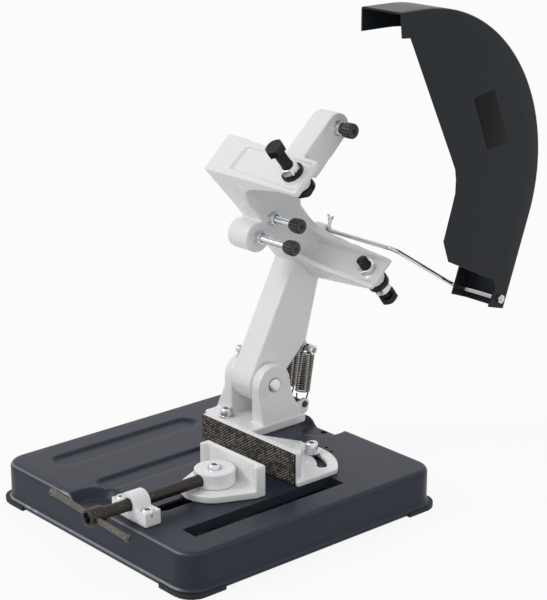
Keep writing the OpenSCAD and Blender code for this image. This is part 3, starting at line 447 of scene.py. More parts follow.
satin = {"peel": 2.2e-5, "cast": 5e-5, "coat": 0.0, "gloss": 0.15}
glossy = {"peel": 1.2e-5, "cast": 4.5e-5, "coat": 0.35, "gloss": 0.45}
# The pale edge colour is a painted highlight on the tray's edges.
slate = enamel("slate_enamel", (0.023, 0.027, 0.041), (0.030, 0.035, 0.052), 0.28, edge=(0.62, 0.63, 0.67),
               **satin)
dark_slate = enamel("guard_enamel", (0.014, 0.017, 0.020), (0.020, 0.024, 0.029), 0.30, **satin)
white = enamel("casting_enamel", (0.81, 0.81, 0.808), (0.86, 0.86, 0.858), 0.22, **glossy)
print("paints:", slate.name, dark_slate.name, white.name)

# %% [markdown]
# ## Bare and treated metals
# Zinc plate is bright with a faint cloudy bloom. The vise screw, tommy bar and springs are browned by oil
# and heat. The screw and bar have paler rubbed spots, and the springs a painted highlight along the wire.
# The fork bolts are black oxide, almost without colour. Metals need a metallic surface and a varied
# roughness: the reflections then break up as they do on a real screw.

# %% Metal finishes
def metal(name, colour, tone, rough, spread, scale, wear=0.0, worn_to=(0.5, 0.47, 0.44), metallic=1.0):
    """Two tones of metal in cloudy patches, with rubbed spots where a fine noise is high."""
    f = Finish(name, Metallic=metallic)
    cloud, fine = f.noise(scale, 5.0, 0.6), f.noise(scale * 9, 3.0)
    rubbed = f.ramp(f.noise(scale * 3.1, 6.0, 0.66), 0.54, 0.70) * wear
    colour = f.mix(rubbed, f.mix(cloud, colour, tone), worn_to)
    return f.finished(colour, rough + fine * spread, (cloud * 4e-5 + fine * 1.5e-5, 0.8))


zinc = metal("zinc_plate", (0.58, 0.60, 0.63), (0.78, 0.79, 0.81), 0.15, 0.22, 160.0)
chrome = metal("bright_rod", (0.50, 0.51, 0.53), (0.68, 0.69, 0.71), 0.06, 0.12, 120.0)
worn_steel = metal("worn_steel", (0.070, 0.062, 0.055), (0.15, 0.135, 0.12), 0.26, 0.22, 150.0,
                   wear=0.4, worn_to=(0.34, 0.31, 0.28), metallic=0.8)
brown = metal("browned_steel", (0.024, 0.020, 0.017), (0.060, 0.050, 0.043), 0.30, 0.24, 170.0,
              wear=0.45, worn_to=(0.26, 0.22, 0.19), metallic=0.75)
oxide = metal("black_oxide", (0.010, 0.009, 0.009), (0.028, 0.025, 0.023), 0.26, 0.22, 210.0,
              wear=0.25, worn_to=(0.15, 0.13, 0.12), metallic=0.7)
print("metals:", zinc.name, chrome.name, brown.name, worn_steel.name, oxide.name)

# %% [markdown]
# ## Springs, rubber, the gripping plate and the bare label panel
# Some finishes read a number that the mesh stores at its points: how far out a spring's wire stands, where
# a rubber cap's grooves cross, and how high a diamond of the gripping plate is. The spring's outermost line
# is a painted highlight over painted shade, and the caps' crossings are painted glints. The plate's tips are
# worn bright.

# %% Spring, rubber, knurl and panel finishes
f = Finish("spring_wire", Metallic=0.85)
cloud = f.noise(260.0, 4.0, 0.6)
# Painted highlight along the wire's outermost line, over a near black colour that also stands for the shade
# between the turns.
painted_crest_highlight = f.ramp(f.mark("crest"), 0.55, 1.0) * (0.55 + 0.45 * cloud)
colour = f.mix(painted_crest_highlight, (0.008, 0.007, 0.006), (0.30, 0.25, 0.21))
spring_wire = f.finished(colour, 0.24 + cloud * 0.2, (cloud * 3e-5, 0.7))

f = Finish("black_rubber", Specular_IOR_Level=0.35)
speckle = f.noise(900.0, 4.0, 0.6)
black = f.mix(speckle, (0.006, 0.006, 0.006), (0.020, 0.020, 0.021))
# Painted glints: pale grey where a cap's grooves cross.
colour = f.mix(f.mark("painted_glints"), black, (0.22, 0.23, 0.25))
rubber = f.finished(colour, 0.34 + speckle * 0.3, (speckle * 9e-5, 0.8))

f = Finish("foot_rubber", Specular_IOR_Level=0.2)
speckle = f.noise(500.0, 4.0, 0.6)
colour = f.mix(speckle, (0.014, 0.015, 0.018), (0.026, 0.028, 0.033))
foot_rubber = f.finished(colour, 0.42 + speckle * 0.2, (speckle * 6e-5, 0.8))

f = Finish("diamond_knurl", Metallic=0.6)
tips, patch = f.ramp(f.mark("stands"), 0.22, 0.52), f.noise(260.0, 5.0, 0.66)
bare = tips * (0.10 + 0.90 * f.ramp(patch, 0.42, 0.60))
colour = f.mix(bare, (0.014, 0.012, 0.011), (0.38, 0.33, 0.29))
knurled = f.finished(colour, 0.34 + patch * 0.25, (patch * 5e-5, 0.7))

f = Finish("label_panel", Specular_IOR_Level=0.15)
bloom = f.noise(420.0, 3.0)
colour = f.mix(bloom, (0.003, 0.0035, 0.004), (0.006, 0.007, 0.008))
panel = f.finished(colour, 0.30 + bloom * 0.12, (bloom * 1.5e-5, 0.6))
print("others:", spring_wire.name, rubber.name, foot_rubber.name, knurled.name, panel.name)

# %% [markdown]
# ## Dressing a piece
# A piece rides on a body of the model if it is given one, takes a finish, and may stand
# for a plain solid, which then isn't shown.


def dress(piece, finish, body, *nodes, angle=35):
    """Finish, shading, body and the solids that the piece stands for."""
    piece.data.materials.clear()
    piece.data.materials.append(finish)
    soften(piece, angle)
    if body:
        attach(piece, body)
    if nodes:
        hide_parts(*nodes)
    print(f"{piece.name}: {len(piece.data.polygons)} faces on {body or 'two bodies'}")
    return piece


def fit(name, finish, body, node, *parts, angle=35):
    """Joins placed surfaces into one piece and dresses it."""
    return dress(joined(name, *parts), finish, body, node, angle=angle)


# %% [markdown]
# ## The tray
# The tray is one steel sheet, pressed and then rolled under at its rim. It could be cut from a block with
# booleans, but a pressing has no sharp inner corner. Here the top is a flat net of triangles with the slots
# and holes left out, and every point sinks by a smooth function of its distance to a groove or scoop. The
# wall is a profile carried round a rounded rectangle, and it sinks by the same function where a scoop runs
# out through it.

# %% Distances that shape the pressing
GROOVES = [(-112.0, -36.0), (-33.0, -36.0)]
GROOVE_W, GROOVE_L, GROOVE_DEEP = 30.0, 188.0, 3.0
SCOOP_X, SCOOP_Y, SCOOP_R, SCOOP_DEEP = -8.0, 152.0, 30.0, 9.7
SLOT_X, SLOT_Y, SLOT_W, SLOT_L, SLOT_R = 114.0, -33.5, 21.3, 193.6, 0.8
GUIDE_W, GUIDE_FRONT, GUIDE_BACK = 14.8, -120.0, -8.0
HALF_W, HALF_D, CORNER_R, EDGE_R = 157.5, 165.0, 24.0, 5.0
TOP_BOX = (0, 0, 2 * (HALF_W - EDGE_R), 2 * (HALF_D - EDGE_R), CORNER_R - EDGE_R)   # the flat part of the top


def to_capsule(xy, x, y, width, length):
    """Distance to a slot with round ends: distance to its middle line less half its width."""
    dy = np.maximum(np.abs(xy[:, 1] - y) - (length - width) / 2, 0)
    return np.hypot(xy[:, 0] - x, dy) - width / 2


def to_box(xy, x, y, w, d, r=0.0):
    """Distance to a rectangle with rounded corners, below zero inside it."""
    q = np.abs(xy - [x, y]) - [w / 2 - r, d / 2 - r]
    return np.hypot(*np.maximum(q, 0).T) + np.minimum(q.max(1), 0) - r


def smooth(a, b, value):
    """0 at a, 1 at b, a smooth S between them and level beyond; a may be the larger one."""
    t = np.clip((value - a) / (b - a), 0, 1)
    return t * t * (3 - 2 * t)


def sunk(xy):
    """How far the press has pushed the sheet down at a point."""
    deep = np.zeros(len(xy))
    for x, y in GROOVES:
        deep += GROOVE_DEEP * smooth(0.8, -4.6, to_capsule(xy, x, y, GROOVE_W, GROOVE_L))
    for side in (-1, 1):
        reach = np.hypot(xy[:, 0] - SCOOP_X, xy[:, 1] - side * SCOOP_Y) - SCOOP_R
        deep = np.maximum(deep, SCOOP_DEEP * smooth(1.5, -9.0, reach))
    return deep


print("sunk in a groove, a scoop and the plain top", sunk(np.array([[-33, -36], [-8, -150], [80, 0]])))

# %% [markdown]
# The net of triangles comes from a constrained Delaunay triangulation: outlines are kept as edges, and
# loose points are added in rings along each pressed edge, where the surface bends, and on a coarse grid
# elsewhere.

# %% Outlines and the points inside them
def ring(x, y, w, d, r, n=10):
    """Outline of a rounded rectangle, n steps to each corner, anticlockwise."""
    corners = []
    for sx, sy, turn in ((1, 1, 0), (-1, 1, 1), (-1, -1, 2), (1, -1, 3)):
        a = np.linspace(0, np.pi / 2, n + 1) + turn * np.pi / 2
        middle = [x + sx * (w / 2 - r), y + sy * (d / 2 - r)]
        corners.append(middle + r * np.stack([np.cos(a), np.sin(a)], -1))
    return np.concatenate(corners)


def spaced(outline, step):
    """The same closed outline with extra points, so that none are further apart than the step."""
    out = []
    for a, b in zip(outline, np.roll(outline, -1, 0)):
        n = max(1, int(np.ceil(np.linalg.norm(b - a) / step)))
        out.append(a + (b - a) * np.arange(n)[:, None] / n)
    points = np.concatenate(out)
    return points[np.linalg.norm(points - np.roll(points, 1, 0), axis=1) > 1e-6]


JUST_UNDER = 0.01       # keeps a round end's radius below half its width
BENCH_Y, BENCH_D, SPOT_D = 158.0, 8.0, 4.4
GUIDE_Y, GUIDE_L = (GUIDE_FRONT + GUIDE_BACK) / 2, GUIDE_BACK - GUIDE_FRONT
HOLES = {"slot": (SLOT_X, SLOT_Y, SLOT_W, SLOT_L, SLOT_R),
         "guide": (VISE_X, GUIDE_Y, GUIDE_W, GUIDE_L, GUIDE_W / 2 - JUST_UNDER)}
for name, x, y, d in (("spot_a", 43.7, 113.7, SPOT_D), ("spot_b", 54.7, 110.7, SPOT_D),
                      ("bench_a", SCOOP_X, -BENCH_Y, BENCH_D), ("bench_b", SCOOP_X, BENCH_Y, BENCH_D)):
    HOLES[name] = (x, y, d, d, d / 2 - JUST_UNDER)
outline = spaced(ring(*TOP_BOX), 4.0)
loose = [np.stack(np.meshgrid(np.arange(-151, 152, 7.5), np.arange(-159, 160, 7.5)), -1).reshape(-1, 2)]
for off in (-7.5, -5.8, -4.2, -2.8, -1.4, 0, 1.4, 3.2):
    w, d = GROOVE_W + 2 * off, GROOVE_L + 2 * off
    loose += [spaced(ring(x, y, w, d, w / 2 - JUST_UNDER), 4.5) for x, y in GROOVES]
for off in (-13, -10.5, -8.4, -6.6, -5, -3.5, -2, -0.5, 1, 3):
    r = SCOOP_R + off
    loose += [spaced(ring(SCOOP_X, side * SCOOP_Y, 2 * r, 2 * r, r - JUST_UNDER), 3.2) for side in (-1, 1)]
loose = np.concatenate(loose)
keep = to_box(loose, *TOP_BOX) < -1.2
for hole in HOLES.values():
    keep &= to_box(loose, *hole) > 1.2
loose = loose[keep]
print("loose points in the tray's top:", len(loose))

# %% [markdown]
# The sheet's upper and lower face are two such nets. In the lower one the wheel slot is wider, which leaves
# room for the lip that is turned down round it.

# %% The sheet's upper and lower face
def net(outer, holes, loose):
    """Triangles inside the outer outline, with the holes' outlines and the loose points as corners."""
    points, edges = [], []
    for loop in (outer, *holes):
        edges += [(len(points) + i, len(points) + (i + 1) % len(loop)) for i in range(len(loop))]
        points += loop.tolist()
    points += loose.tolist()
    found, _, faces, *_ = delaunay_2d_cdt([Vector(p) for p in points], edges, [], 0, 1e-6)
    return np.array([tuple(v) for v in found]), np.array(faces)


def plate(grow):
    """The net of the tray's plate and its holes' outlines, with the wheel slot grown on each side."""
    x, y, w, d, r = HOLES["slot"]
    holes = {**HOLES, "slot": (x, y, w + 2 * grow, d + 2 * grow, r + grow)}
    rims = [spaced(ring(*hole, 4), 4.0) for hole in holes.values()]
    free = loose[to_box(loose, *holes["slot"][:4], r) > 1.0]
    points, faces = net(outline, rims, free)
    middle = points[faces].mean(1)
    inside = to_box(middle, *TOP_BOX) < 0
    for hole in holes.values():
        inside &= to_box(middle, *hole) > 0
    return points, faces[inside], rims


LIP = 1.8               # thickness of the wheel slot's turned-down lip
top_points, top_faces, top_rims = plate(0.0)
low_points, low_faces, low_rims = plate(LIP)
print("tray's top:", len(top_faces), "triangles, underside:", len(low_faces))

# %% [markdown]
# The wall runs down from the rounded top edge, turns out at the rim and rolls under. Its inside is the same
# profile one sheet further in, so the pressing is a closed skin with a real thickness.

# %% The wall, the rolled rim and the hole edges
angles = np.radians(np.linspace(90, 0, 7))
profile = [(-EDGE_R + EDGE_R * np.cos(a), TOP_Z - EDGE_R + EDGE_R * np.sin(a)) for a in angles]
profile += [(0, 32), (0, 24), (0, 16), (0, 9.2), (0.25, 7.9), (0.9, 6.9), (1.6, 6.3), (2.15, 5.6), (2.5, 4.6),
            (2.5, 3.4), (2.1, 2.5), (1.3, 2.05), (-0.5, 2.0)]
profile += [(-2.2, 2.3), *[(-SHEET, z) for z in (4, 9, 16, 24, 32, TOP_Z - EDGE_R)], (-3.3, TOP_Z - 3.6),
            (-EDGE_R, UNDER_Z)]
straight = np.array([HALF_W, HALF_D]) - CORNER_R
away = outline - np.clip(outline, -straight, straight)
away /= np.linalg.norm(away, axis=1)[:, None]
RIM_Z = 8.0


def at_height(xy, z):
    return np.column_stack([xy, np.full(len(xy), z)])


def pressed(points):
    """Lowers points by the pressing, less and less towards the rim."""
    share = np.clip((points[:, 2] - RIM_Z) / (TOP_Z - RIM_Z), 0, 1)
    return points - np.outer(share * sunk(points[:, :2]), [0, 0, 1])


def pressed_wall(loops):
    """A wall through outlines that each stand at a height."""
    return None, (pressed(np.concatenate([at_height(*loop) for loop in loops])),
                  grid_faces(len(loops), len(loops[0][0]), wrap=True))


LIP_Z = 34.0            # the wheel slot's lips are turned down to here
parts = [(None, (pressed(at_height(top_points, TOP_Z)), top_faces)),
         (None, (pressed(at_height(low_points, UNDER_Z)), low_faces[:, ::-1])),
         pressed_wall([(outline + away * (out + EDGE_R), z) for out, z in profile])]
for name, upper, lower in zip(HOLES, top_rims, low_rims):
    lip = [(upper, TOP_Z - 1), (upper, LIP_Z), (lower, LIP_Z)] if name == "slot" else []
    parts.append(pressed_wall([(upper, TOP_Z), *lip, (lower, UNDER_Z)]))


def edge_highlight_of(points):
    """Painted highlight: the middle of the top's rounded edge and the rim, mostly in front and away from the
    right end.
    """
    off = to_box(points[:, :2], 0, 0, 2 * HALF_W, 2 * HALF_D, CORNER_R)
    share = 0.08 + 0.92 * smooth(-140, -155, points[:, 1]) * smooth(152, 135, points[:, 0])
    bend = np.exp(-((points[:, 2] + sunk(points[:, :2]) - (TOP_Z - 1.4)) / 0.7) ** 2) * (off > -4)
    rim_top = np.exp(-((points[:, 2] - 6.6) / 0.9) ** 2) * (off > 0.5)
    return share * np.clip(bend * 0.75 + rim_top, 0, 1)


# The tray's points carry its painted edge highlight.
dress(marked(joined("pressed_tray", *parts), "painted_edge_highlight", edge_highlight_of), slate, "base", "base_tray", angle=40)

# %% [markdown]
# ## The castings
# A casting leaves its mould with every edge rounded and every inner corner filled, or the metal would tear
# there. A bevel modifier rounds outer edges only, and it fails where many cuts meet. Instead a copy of each
# solid is rebuilt from small cells, which closes its loose triangles, and the new surface is relaxed: each
# point moves towards its neighbours' mean, which rounds the edges and fills the corners alike.

# %% Rounding a casting
def cast(name, node, body, cell, passes, finish=white):
    """A relaxed copy of a solid: cells of that size in millimetres, and that many passes of smoothing."""
    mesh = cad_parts[node].data.copy()
    mesh.name = name
    piece = bpy.data.objects.new(name, mesh)
    bpy.context.scene.collection.objects.link(piece)
    edit = bmesh.new()
    edit.from_mesh(mesh)
    bmesh.ops.remove_doubles(edit, verts=edit.verts, dist=1e-6)
    edit.to_mesh(mesh)
    edit.free()
    cells = piece.modifiers.new("cells", "REMESH")
    cells.mode, cells.voxel_size = "VOXEL", cell * MM
    relax = piece.modifiers.new("relax", "SMOOTH")
    relax.factor, relax.iterations = 0.5, passes
    return dress(applied(piece), finish, body, node, angle=60)


cast("arm_casting", "swing_arm", "arm", 1.25, 8)
cast("bracket_casting", "hinge_bracket", "base", 1.2, 4)
cast("fixed_jaw_casting", "fixed_jaw", "fence", 1.1, 3)
cast("moving_jaw_casting", "moving_jaw", "jaw", 1.1, 3)
cast("screw_block_casting", "screw_block", "base", 0.9, 3)
cast("swivel_casting", "swivel_block", "carriage", 0.9, 3)

# %% [markdown]
# The rubber feet are moulded and rounded in the same way. Only a thin lip of each shows, so their upper
# part is squeezed until it ends half way up the rolled rim.

# %% Moulded feet
FOOT_SOLE, FOOT_LIP = 3.0, 5.4


def squeezed(points):
    """Heights above the sole are scaled so that the highest comes down to the lip."""
    z = points[:, 2]
    scale = (FOOT_LIP - FOOT_SOLE) / (z.max() - FOOT_SOLE)
    print("feet reach", round(z.max(), 1), "mm as solids and", FOOT_LIP, "mm as moulded")
    return np.column_stack([points[:, :2], np.where(z > FOOT_SOLE, FOOT_SOLE + (z - FOOT_SOLE) * scale, z)])


moved(cast("corner_feet_moulded", "corner_feet", "base", 0.7, 4, foot_rubber), squeezed)

# %% [markdown]
# ## The gripping plate
# The fixed jaw carries a steel plate cut with two crossing sets of grooves, which leaves rows of diamonds.
# Its face is a height over a grid: each point stands by its distance to the nearest groove line of either
# set.

# %% Diamond knurl
LEFT, RIGHT, LOW, HIGH = -49.6, 98.7, 45.2, 79.0
FACE_Y, PLATE_T, TOOTH = 18.2, 2.0, 0.9
WIDE, TALL = 4.5, 3.0   # a diamond's width and height
GRID, RAMP = 0.52, 0.6  # spacing of the points, and how far in from the border the teeth reach full height


def tooth(u, v):
    """Pyramids: one less the larger distance from the middle of a unit cell, in both groove directions."""
    return 1 - 2 * np.maximum(np.abs(u % 1 - 0.5), np.abs(v % 1 - 0.5))


n_x, n_z = (int((b - a) / GRID) for a, b in ((LEFT, RIGHT), (LOW, HIGH)))
x, z = np.meshgrid(np.linspace(LEFT, RIGHT, n_x), np.linspace(LOW, HIGH, n_z), indexing="ij")
inset = np.minimum.reduce([x - LEFT, RIGHT - x, z - LOW, HIGH - z])
stands = tooth(x / WIDE + z / TALL, x / WIDE - z / TALL) * np.clip(inset / RAMP, 0, 1)
front = np.stack([x, FACE_Y + TOOTH - stands * TOOTH, z], -1).reshape(-1, 3)
index = np.arange(n_x * n_z).reshape(n_x, n_z)
border = np.concatenate([index[0], index[1:, -1], index[-1, -2::-1], index[-2:0:-1, 0]])
rear = front[border] * [1, 0, 1] + [0, FACE_Y + PLATE_T, 0]
back = len(front) + np.arange(len(border))
sides = np.stack([border, np.roll(border, -1), np.roll(back, -1), back], -1).tolist()
faces = grid_faces(n_x, n_z).tolist() + sides + [tuple(back)]
knurl = to_mesh("gripping_plate", np.concatenate([front, rear]), faces)
marked(knurl, "stands", lambda points: np.clip((FACE_Y + TOOTH - points[:, 1]) / TOOTH, 0, 1))
dress(knurl, knurled, "fence", "knurled_plate", angle=20)

# %% [markdown]
# ## The vise screw
# A long screw with a rolled thread, a round hub at the front and a cross hole for the tommy bar. It is one
# turned surface: the hub and its rough hexagon mouth, a shoulder, then the thread as a helix in the radius.

# %% Screw and tommy bar
HUB_FRONT, HUB_BACK, HUB_R, SCREW_R, TIP_Y = -204.5, -186.0, 8.8, 6.25, -59.5
PITCH, CUT = 2.0, 0.45  # of the screw's thread
hub_l, screw_l = HUB_BACK - HUB_FRONT, TIP_Y - HUB_FRONT
rows = [(0, 8), (4.8, 8, MOUTH), (5.2, 2.6, MOUTH), (5.6, 0.8), (6.2, 0), (7.6, 0), (8.5, 0.5), (HUB_R, 1.4)]
rows += [(HUB_R, z) for z in np.linspace(2.4, hub_l - 1.6, 10)]
rows += [(8.4, hub_l - 0.5), (7.4, hub_l), (SCREW_R, hub_l + 0.3)]
rows += [*rows_along(SCREW_R, hub_l + 1, screw_l - 1.5, 0.34, THREAD), (5.2, screw_l), (0, screw_l)]
to_back = Place([VISE_X, HUB_FRONT, SCREW_Z], (0, 1, 0)), turned(rows, 40, groove=(PITCH, CUT))
fit("vise_screw_thread", brown, "screw", "vise_screw", to_back, angle=50)

BAR_TURN, BAR_SLID, BAR_Y = np.radians(3), 6.0, -197.47
along = (np.cos(BAR_TURN), 0, -np.sin(BAR_TURN))
to_right = Place([VISE_X, BAR_Y, SCREW_Z], along, (0, 1, 0)).shifted(-BAR_SLID)
end = [(0, -63), (2.6, -63), (3.5, -62.4), (3.81, -61.2), (3.6, -60.0), (3.0, -58.6), (2.8, -57.4)]
bar = turned(end + rows_along(2.8, -52, 52, 8) + mirrored(end, 0), 32)
fit("tommy_bar_swaged", worn_steel, "tommy", "tommy_bar", (to_right, bar), angle=50)

# %% [markdown]
# ## Screws and nuts of the base
# Two screws hold the vise block, one clamps the fixed jaw in its curved slot, two hold the bracket, and one
# is the swivel of the moving jaw. The bracket's have a plain washer, and the clamp's also has a spring
# washer. The fixed jaw's pivot screw comes up from below. The nuts sit under the tray.

# %% Base fasteners
D, NUT_AF, NUT_H = 8, 13, 6.4
WASHER_T, SPRING_T = 1.6, 2.1
SEAM = 0.02             # keeps stacked pieces from sharing a face
BELOW = NUT_H + 3       # how far a screw reaches below the sheet
plain_washer = washer(16.8, 8.6, WASHER_T)


def screw_at(x, y, z, reach):
    """A cap screw whose head stands at z, and that reaches so far below the sheet."""
    return Place([x, y, z]), cap_screw(D, z - UNDER_Z + reach)


def nut_under(x, y):
    return Place([x, y, UNDER_Z - NUT_H]), hex_nut(NUT_AF, NUT_H, D)


BLOCK_SEAT = TOP_Z + 8.3
block = [(VISE_X + side * 20.5, -147.5) for side in (-1, 1)]
heads = [screw_at(*at, BLOCK_SEAT, BELOW) for at in block]
fit("block_cap_screws", zinc, "base", "screw_block_bolts", *heads)
fit("block_nuts", zinc, "base", "screw_block_nuts", *[nut_under(*at) for at in block])

JAW_FOOT_T, SWIVEL_H, SUNK, GUIDE_T = 8.0, 16.1, 4.0, 4.2
SWIVEL_Y = FACE_Y - 36.2 - 29   # the opening, and the moving jaw's face to its swivel
swivel_z = TOP_Z + CLEAR + JAW_FOOT_T + CLEAR + SWIVEL_H - SUNK
swivel_screw = screw_at(VISE_X, SWIVEL_Y, swivel_z, GUIDE_T + NUT_H)
fit("swivel_cap_screw", zinc, "carriage", "swivel_bolt", swivel_screw)

PIVOT, SLOT_ARC_R, CLAMP_AT = (50, 33), 50.2, np.radians(85.5)
clamp = (PIVOT[0] + SLOT_ARC_R * np.cos(CLAMP_AT), PIVOT[1] + SLOT_ARC_R * np.sin(CLAMP_AT))
clamp_z = TOP_Z + CLEAR + 5.6 + CLEAR
spring_z = clamp_z + WASHER_T + SEAM
fit("jaw_clamp_screw", zinc, "base", "fence_clamp_screw", (Place([*clamp, clamp_z]), plain_washer),
    (Place([*clamp, spring_z]), washer(13.4, 8.6, SPRING_T)),
    screw_at(*clamp, spring_z + SPRING_T + SEAM, BELOW - CLEAR - 2 * SEAM))
fit("jaw_clamp_nut", zinc, "base", "fence_clamp_nut", nut_under(*clamp))
fit("jaw_pivot_screw", zinc, "base", "fence_pivot_screw",
    (Place([*PIVOT, UNDER_Z], (0, 0, -1)), cap_screw(D, TOP_Z + CLEAR + 18 - UNDER_Z)))

FOOT_TOP = TOP_Z + 8.8
bracket = [(-80.0, 78.0), (-65.5, 141.0)]
heads = [screw_at(*at, FOOT_TOP + WASHER_T + SEAM, BELOW - SEAM) for at in bracket]
fit("bracket_cap_screws", zinc, "base", "bracket_bolts", *heads,
    *[(Place([*at, FOOT_TOP]), plain_washer) for at in bracket])
fit("bracket_nuts_chamfered", zinc, "base", "bracket_nuts", *[nut_under(*at) for at in bracket])

# %% [markdown]
# ## The hinge
# A ground pin runs through both ears. It ends a little proud, with a broken edge, and the dark line round
# it is the gap to its bore. A small cap screw stands on the far ear and locks it.

# %% Hinge pin and lock screw
ARM_W, EAR_T, PIN_R, PROUD = 33.2, 12.8, 8.0, 1.0
pin_left = WALL_X - ARM_W - EAR_T - PROUD
pin_l = ARM_W + CLEAR + 2 * EAR_T + 2 * PROUD
end = [(0, 0), (6.4, 0), (6.9, 0.12), (7.35, 0.6), (7.4, 2.4), (PIN_R, 3.2)]
pin = turned(end + rows_along(PIN_R, 8, pin_l - 8, 12) + mirrored(end, pin_l), 56)
fit("hinge_pin_ground", zinc, "base", "hinge_pin", (across_stand(pin_left, PIN_Y, PIN_Z), pin), angle=30)

LOCK_D = 6
low, high = solid_box("pin_lock_screw")
seat_z = high[2] - LOCK_D
lock = Place([*(low + high)[:2] / 2, seat_z]), cap_screw(LOCK_D, seat_z - low[2], 48)
fit("pin_lock_cap_screw", zinc, "base", "pin_lock_screw", lock)

# %% [markdown]
# ## The return springs
# Two tension springs pull the arm up. Each is one wire: a loop as wide as the coil goes round the anchor
# bar, the wire leads into 21 close turns, and a second loop goes round the post. The wire is a circle
# carried along that path. Although the arm swings away from the base, the spring rides on neither body.

# %% A wire along a path
def tube(path, radius, sides):
    """A circle carried along a path: each ring stands square to it and keeps the last ring's turn."""
    path = np.asarray(path, float)
    ahead = np.gradient(path, axis=0)
    ahead /= np.linalg.norm(ahead, axis=1)[:, None]
    side, sideways = np.cross(ahead[0], [0.3, 0.2, 1.0]), []
    for t in ahead:
        side = side - t * (side @ t)
        side /= np.linalg.norm(side)
        sideways.append(side)
    u = np.array(sideways)
    v = np.cross(ahead, u)
    a = np.arange(sides)[None, :, None] * 2 * np.pi / sides
    rings = path[:, None] + radius * (np.cos(a) * u[:, None] + np.sin(a) * v[:, None])
    points = np.concatenate([path[:1], rings.reshape(-1, 3), path[-1:]])
    faces = grid_faces(len(path), sides, wrap=True, first=1).tolist()
    last = 1 + (len(path) - 1) * sides
    faces += [(0, 1 + (k + 1) % sides, 1 + k) for k in range(sides)]
    faces += [(len(points) - 1, last + k, last + (k + 1) % sides) for k in range(sides)]
    return points, faces


ANCHOR, POST = np.array([164.0, 54.8]), np.array([174.5, 117.0])
BAR_R, WIRE_R, COIL_R, TURNS, RISE = 3.5, 0.80, 7.7, 21, 2.1
spring_l = np.linalg.norm(POST - ANCHOR)
coil_from = (spring_l - TURNS * RISE) / 2 + 3.6
print("springs of", round(spring_l, 1), "mm between their bars")

# %% [markdown]
# The path is put together from seven stretches, and each starts where the one before it ends.

# %% The spring's path
def end_loop(sign):
    """Half circle round a bar, as wide as the coil, in the plane along the stand; -1 is the lower end."""
    a = np.linspace(0, np.pi, 17)
    dip = BAR_R + WIRE_R + 0.05 - COIL_R
    return np.stack([0 * a, COIL_R * np.cos(a), sign * (dip + COIL_R * np.sin(a))], -1)


def bridge(a, b, ta, tb, n=9):
    """Cubic curve from a to b that leaves along ta and arrives along tb."""
    t = np.linspace(0, 1, n + 2)[1:-1, None]
    s = 1 - t
    return s**3 * a + 3 * s * s * t * (a + np.array(ta)) + 3 * s * t * t * (b - np.array(tb)) + t**3 * b


def spring_path():
    """Stub, loop, lead, helix (radius constant, height by the turn), lead, loop and stub."""
    t = np.linspace(0, TURNS, TURNS * 20 + 1)
    a = np.pi / 2 + 2 * np.pi * t
    coil = np.stack([COIL_R * np.cos(a), COIL_R * np.sin(a), coil_from + RISE * t], -1)
    low, high = end_loop(-1)[::-1], end_loop(1) + [0, 0, spring_l]
    lead_in = bridge(low[-1], coil[0], [0, 0, 3.0], [-3.0, 0, 0.2])
    lead_out = bridge(coil[-1], high[0], [-2.0, 0, 0.2], [0, 0, 1.2])
    stub_low = np.linspace([0, -COIL_R, coil_from - 1.2], low[0], 5)[:-1]
    stub_high = np.linspace(high[-1], [0, -COIL_R, coil[-1][2] + 1.2], 5)[1:]
    return np.concatenate([stub_low, low, lead_in, coil, lead_out, high, stub_high])


def crest_of(place):
    """How far out on the wire a point is: 0 at the wire's middle and 1 at its outermost line."""
    return lambda points: np.clip((place.local(points)[0] - COIL_R) / WIRE_R, 0, 1)


for side, x in (("near", -53.5), ("far", -77.5)):
    place = Place([x, *ANCHOR], np.array([0, *(POST - ANCHOR)]) / spring_l)
    piece = joined("return_spring_" + side, (place, tube(spring_path(), WIRE_R, 10)))
    # The crest carries the wire's painted highlight.
    marked(piece, "crest", crest_of(place))
    dress(piece, spring_wire, None, "spring_" + side, angle=60)
    start, end = (tuple((np.array([x, *at]) - MIDDLE) * MM) for at in (ANCHOR, POST))
    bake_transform(piece)

# %% [markdown]
# The springs hang on two short bars. The lower one is a plain peg through the bracket's lugs, and the upper
# one is a cap screw through the arm's lug.

# %% Spring bars
low, high = solid_box("spring_anchor")
peg_l = high[0] - low[0]
end = [(0, 0), (3.0, 0), (BAR_R, 0.5), (BAR_R, 4)]
peg = turned(end + rows_along(BAR_R, 8, peg_l - 8, 6) + mirrored(end, peg_l), 32)
fit("spring_peg", brown, "base", "spring_anchor", (across_stand(low[0], *ANCHOR), peg))
low, high = solid_box("spring_post")
post_d = 2 * BAR_R
head_x = high[0] - post_d
post = across_stand(head_x, *POST), cap_screw(post_d, head_x - low[0])
fit("spring_post_screw", zinc, "arm", "spring_post", post)

# %% [markdown]
# ## Fork bolts
# The two bolts that grip the grinder are black, with hexagon heads and a coarse thread, and are locked by a
# nut on a black washer. The hexagon is the lathe's form with its corners cut by a cone.

# %% Fork bolts, washers and nuts
CLAMP_D, CLAMP_AF, CLAMP_HEAD, CLAMP_PITCH, CLAMP_BORE = 12.0, 18.0, 8.0, 1.75, 12.1
UPPER_OUT, LOWER_OUT = 33.0, 24.0       # how far each head's seat stands from the fork
UPPER_ARM_T, THIN_T, THICK_T = 19.5, 3.0, 6.0
LOCK_H, THIN_LOCK_H = 9.6, 6.0
LOWER_BOSS = 19.9                       # length of the lower arm along its bolt
upper = hex_bolt(CLAMP_AF, CLAMP_HEAD, CLAMP_D, 66, CLAMP_PITCH)
lower = hex_bolt(CLAMP_AF, CLAMP_HEAD, CLAMP_D, 61, CLAMP_PITCH)
lower_place = Place(lower_seat.shifted(-LOWER_OUT).origin, -BOLT_UP)
fit("upper_fork_bolt", oxide, "bolt_above", "upper_bolt", (upper_seat.shifted(UPPER_OUT), upper), angle=25)
fit("lower_fork_bolt", oxide, "bolt_below", "lower_bolt", (lower_place, lower), angle=25)

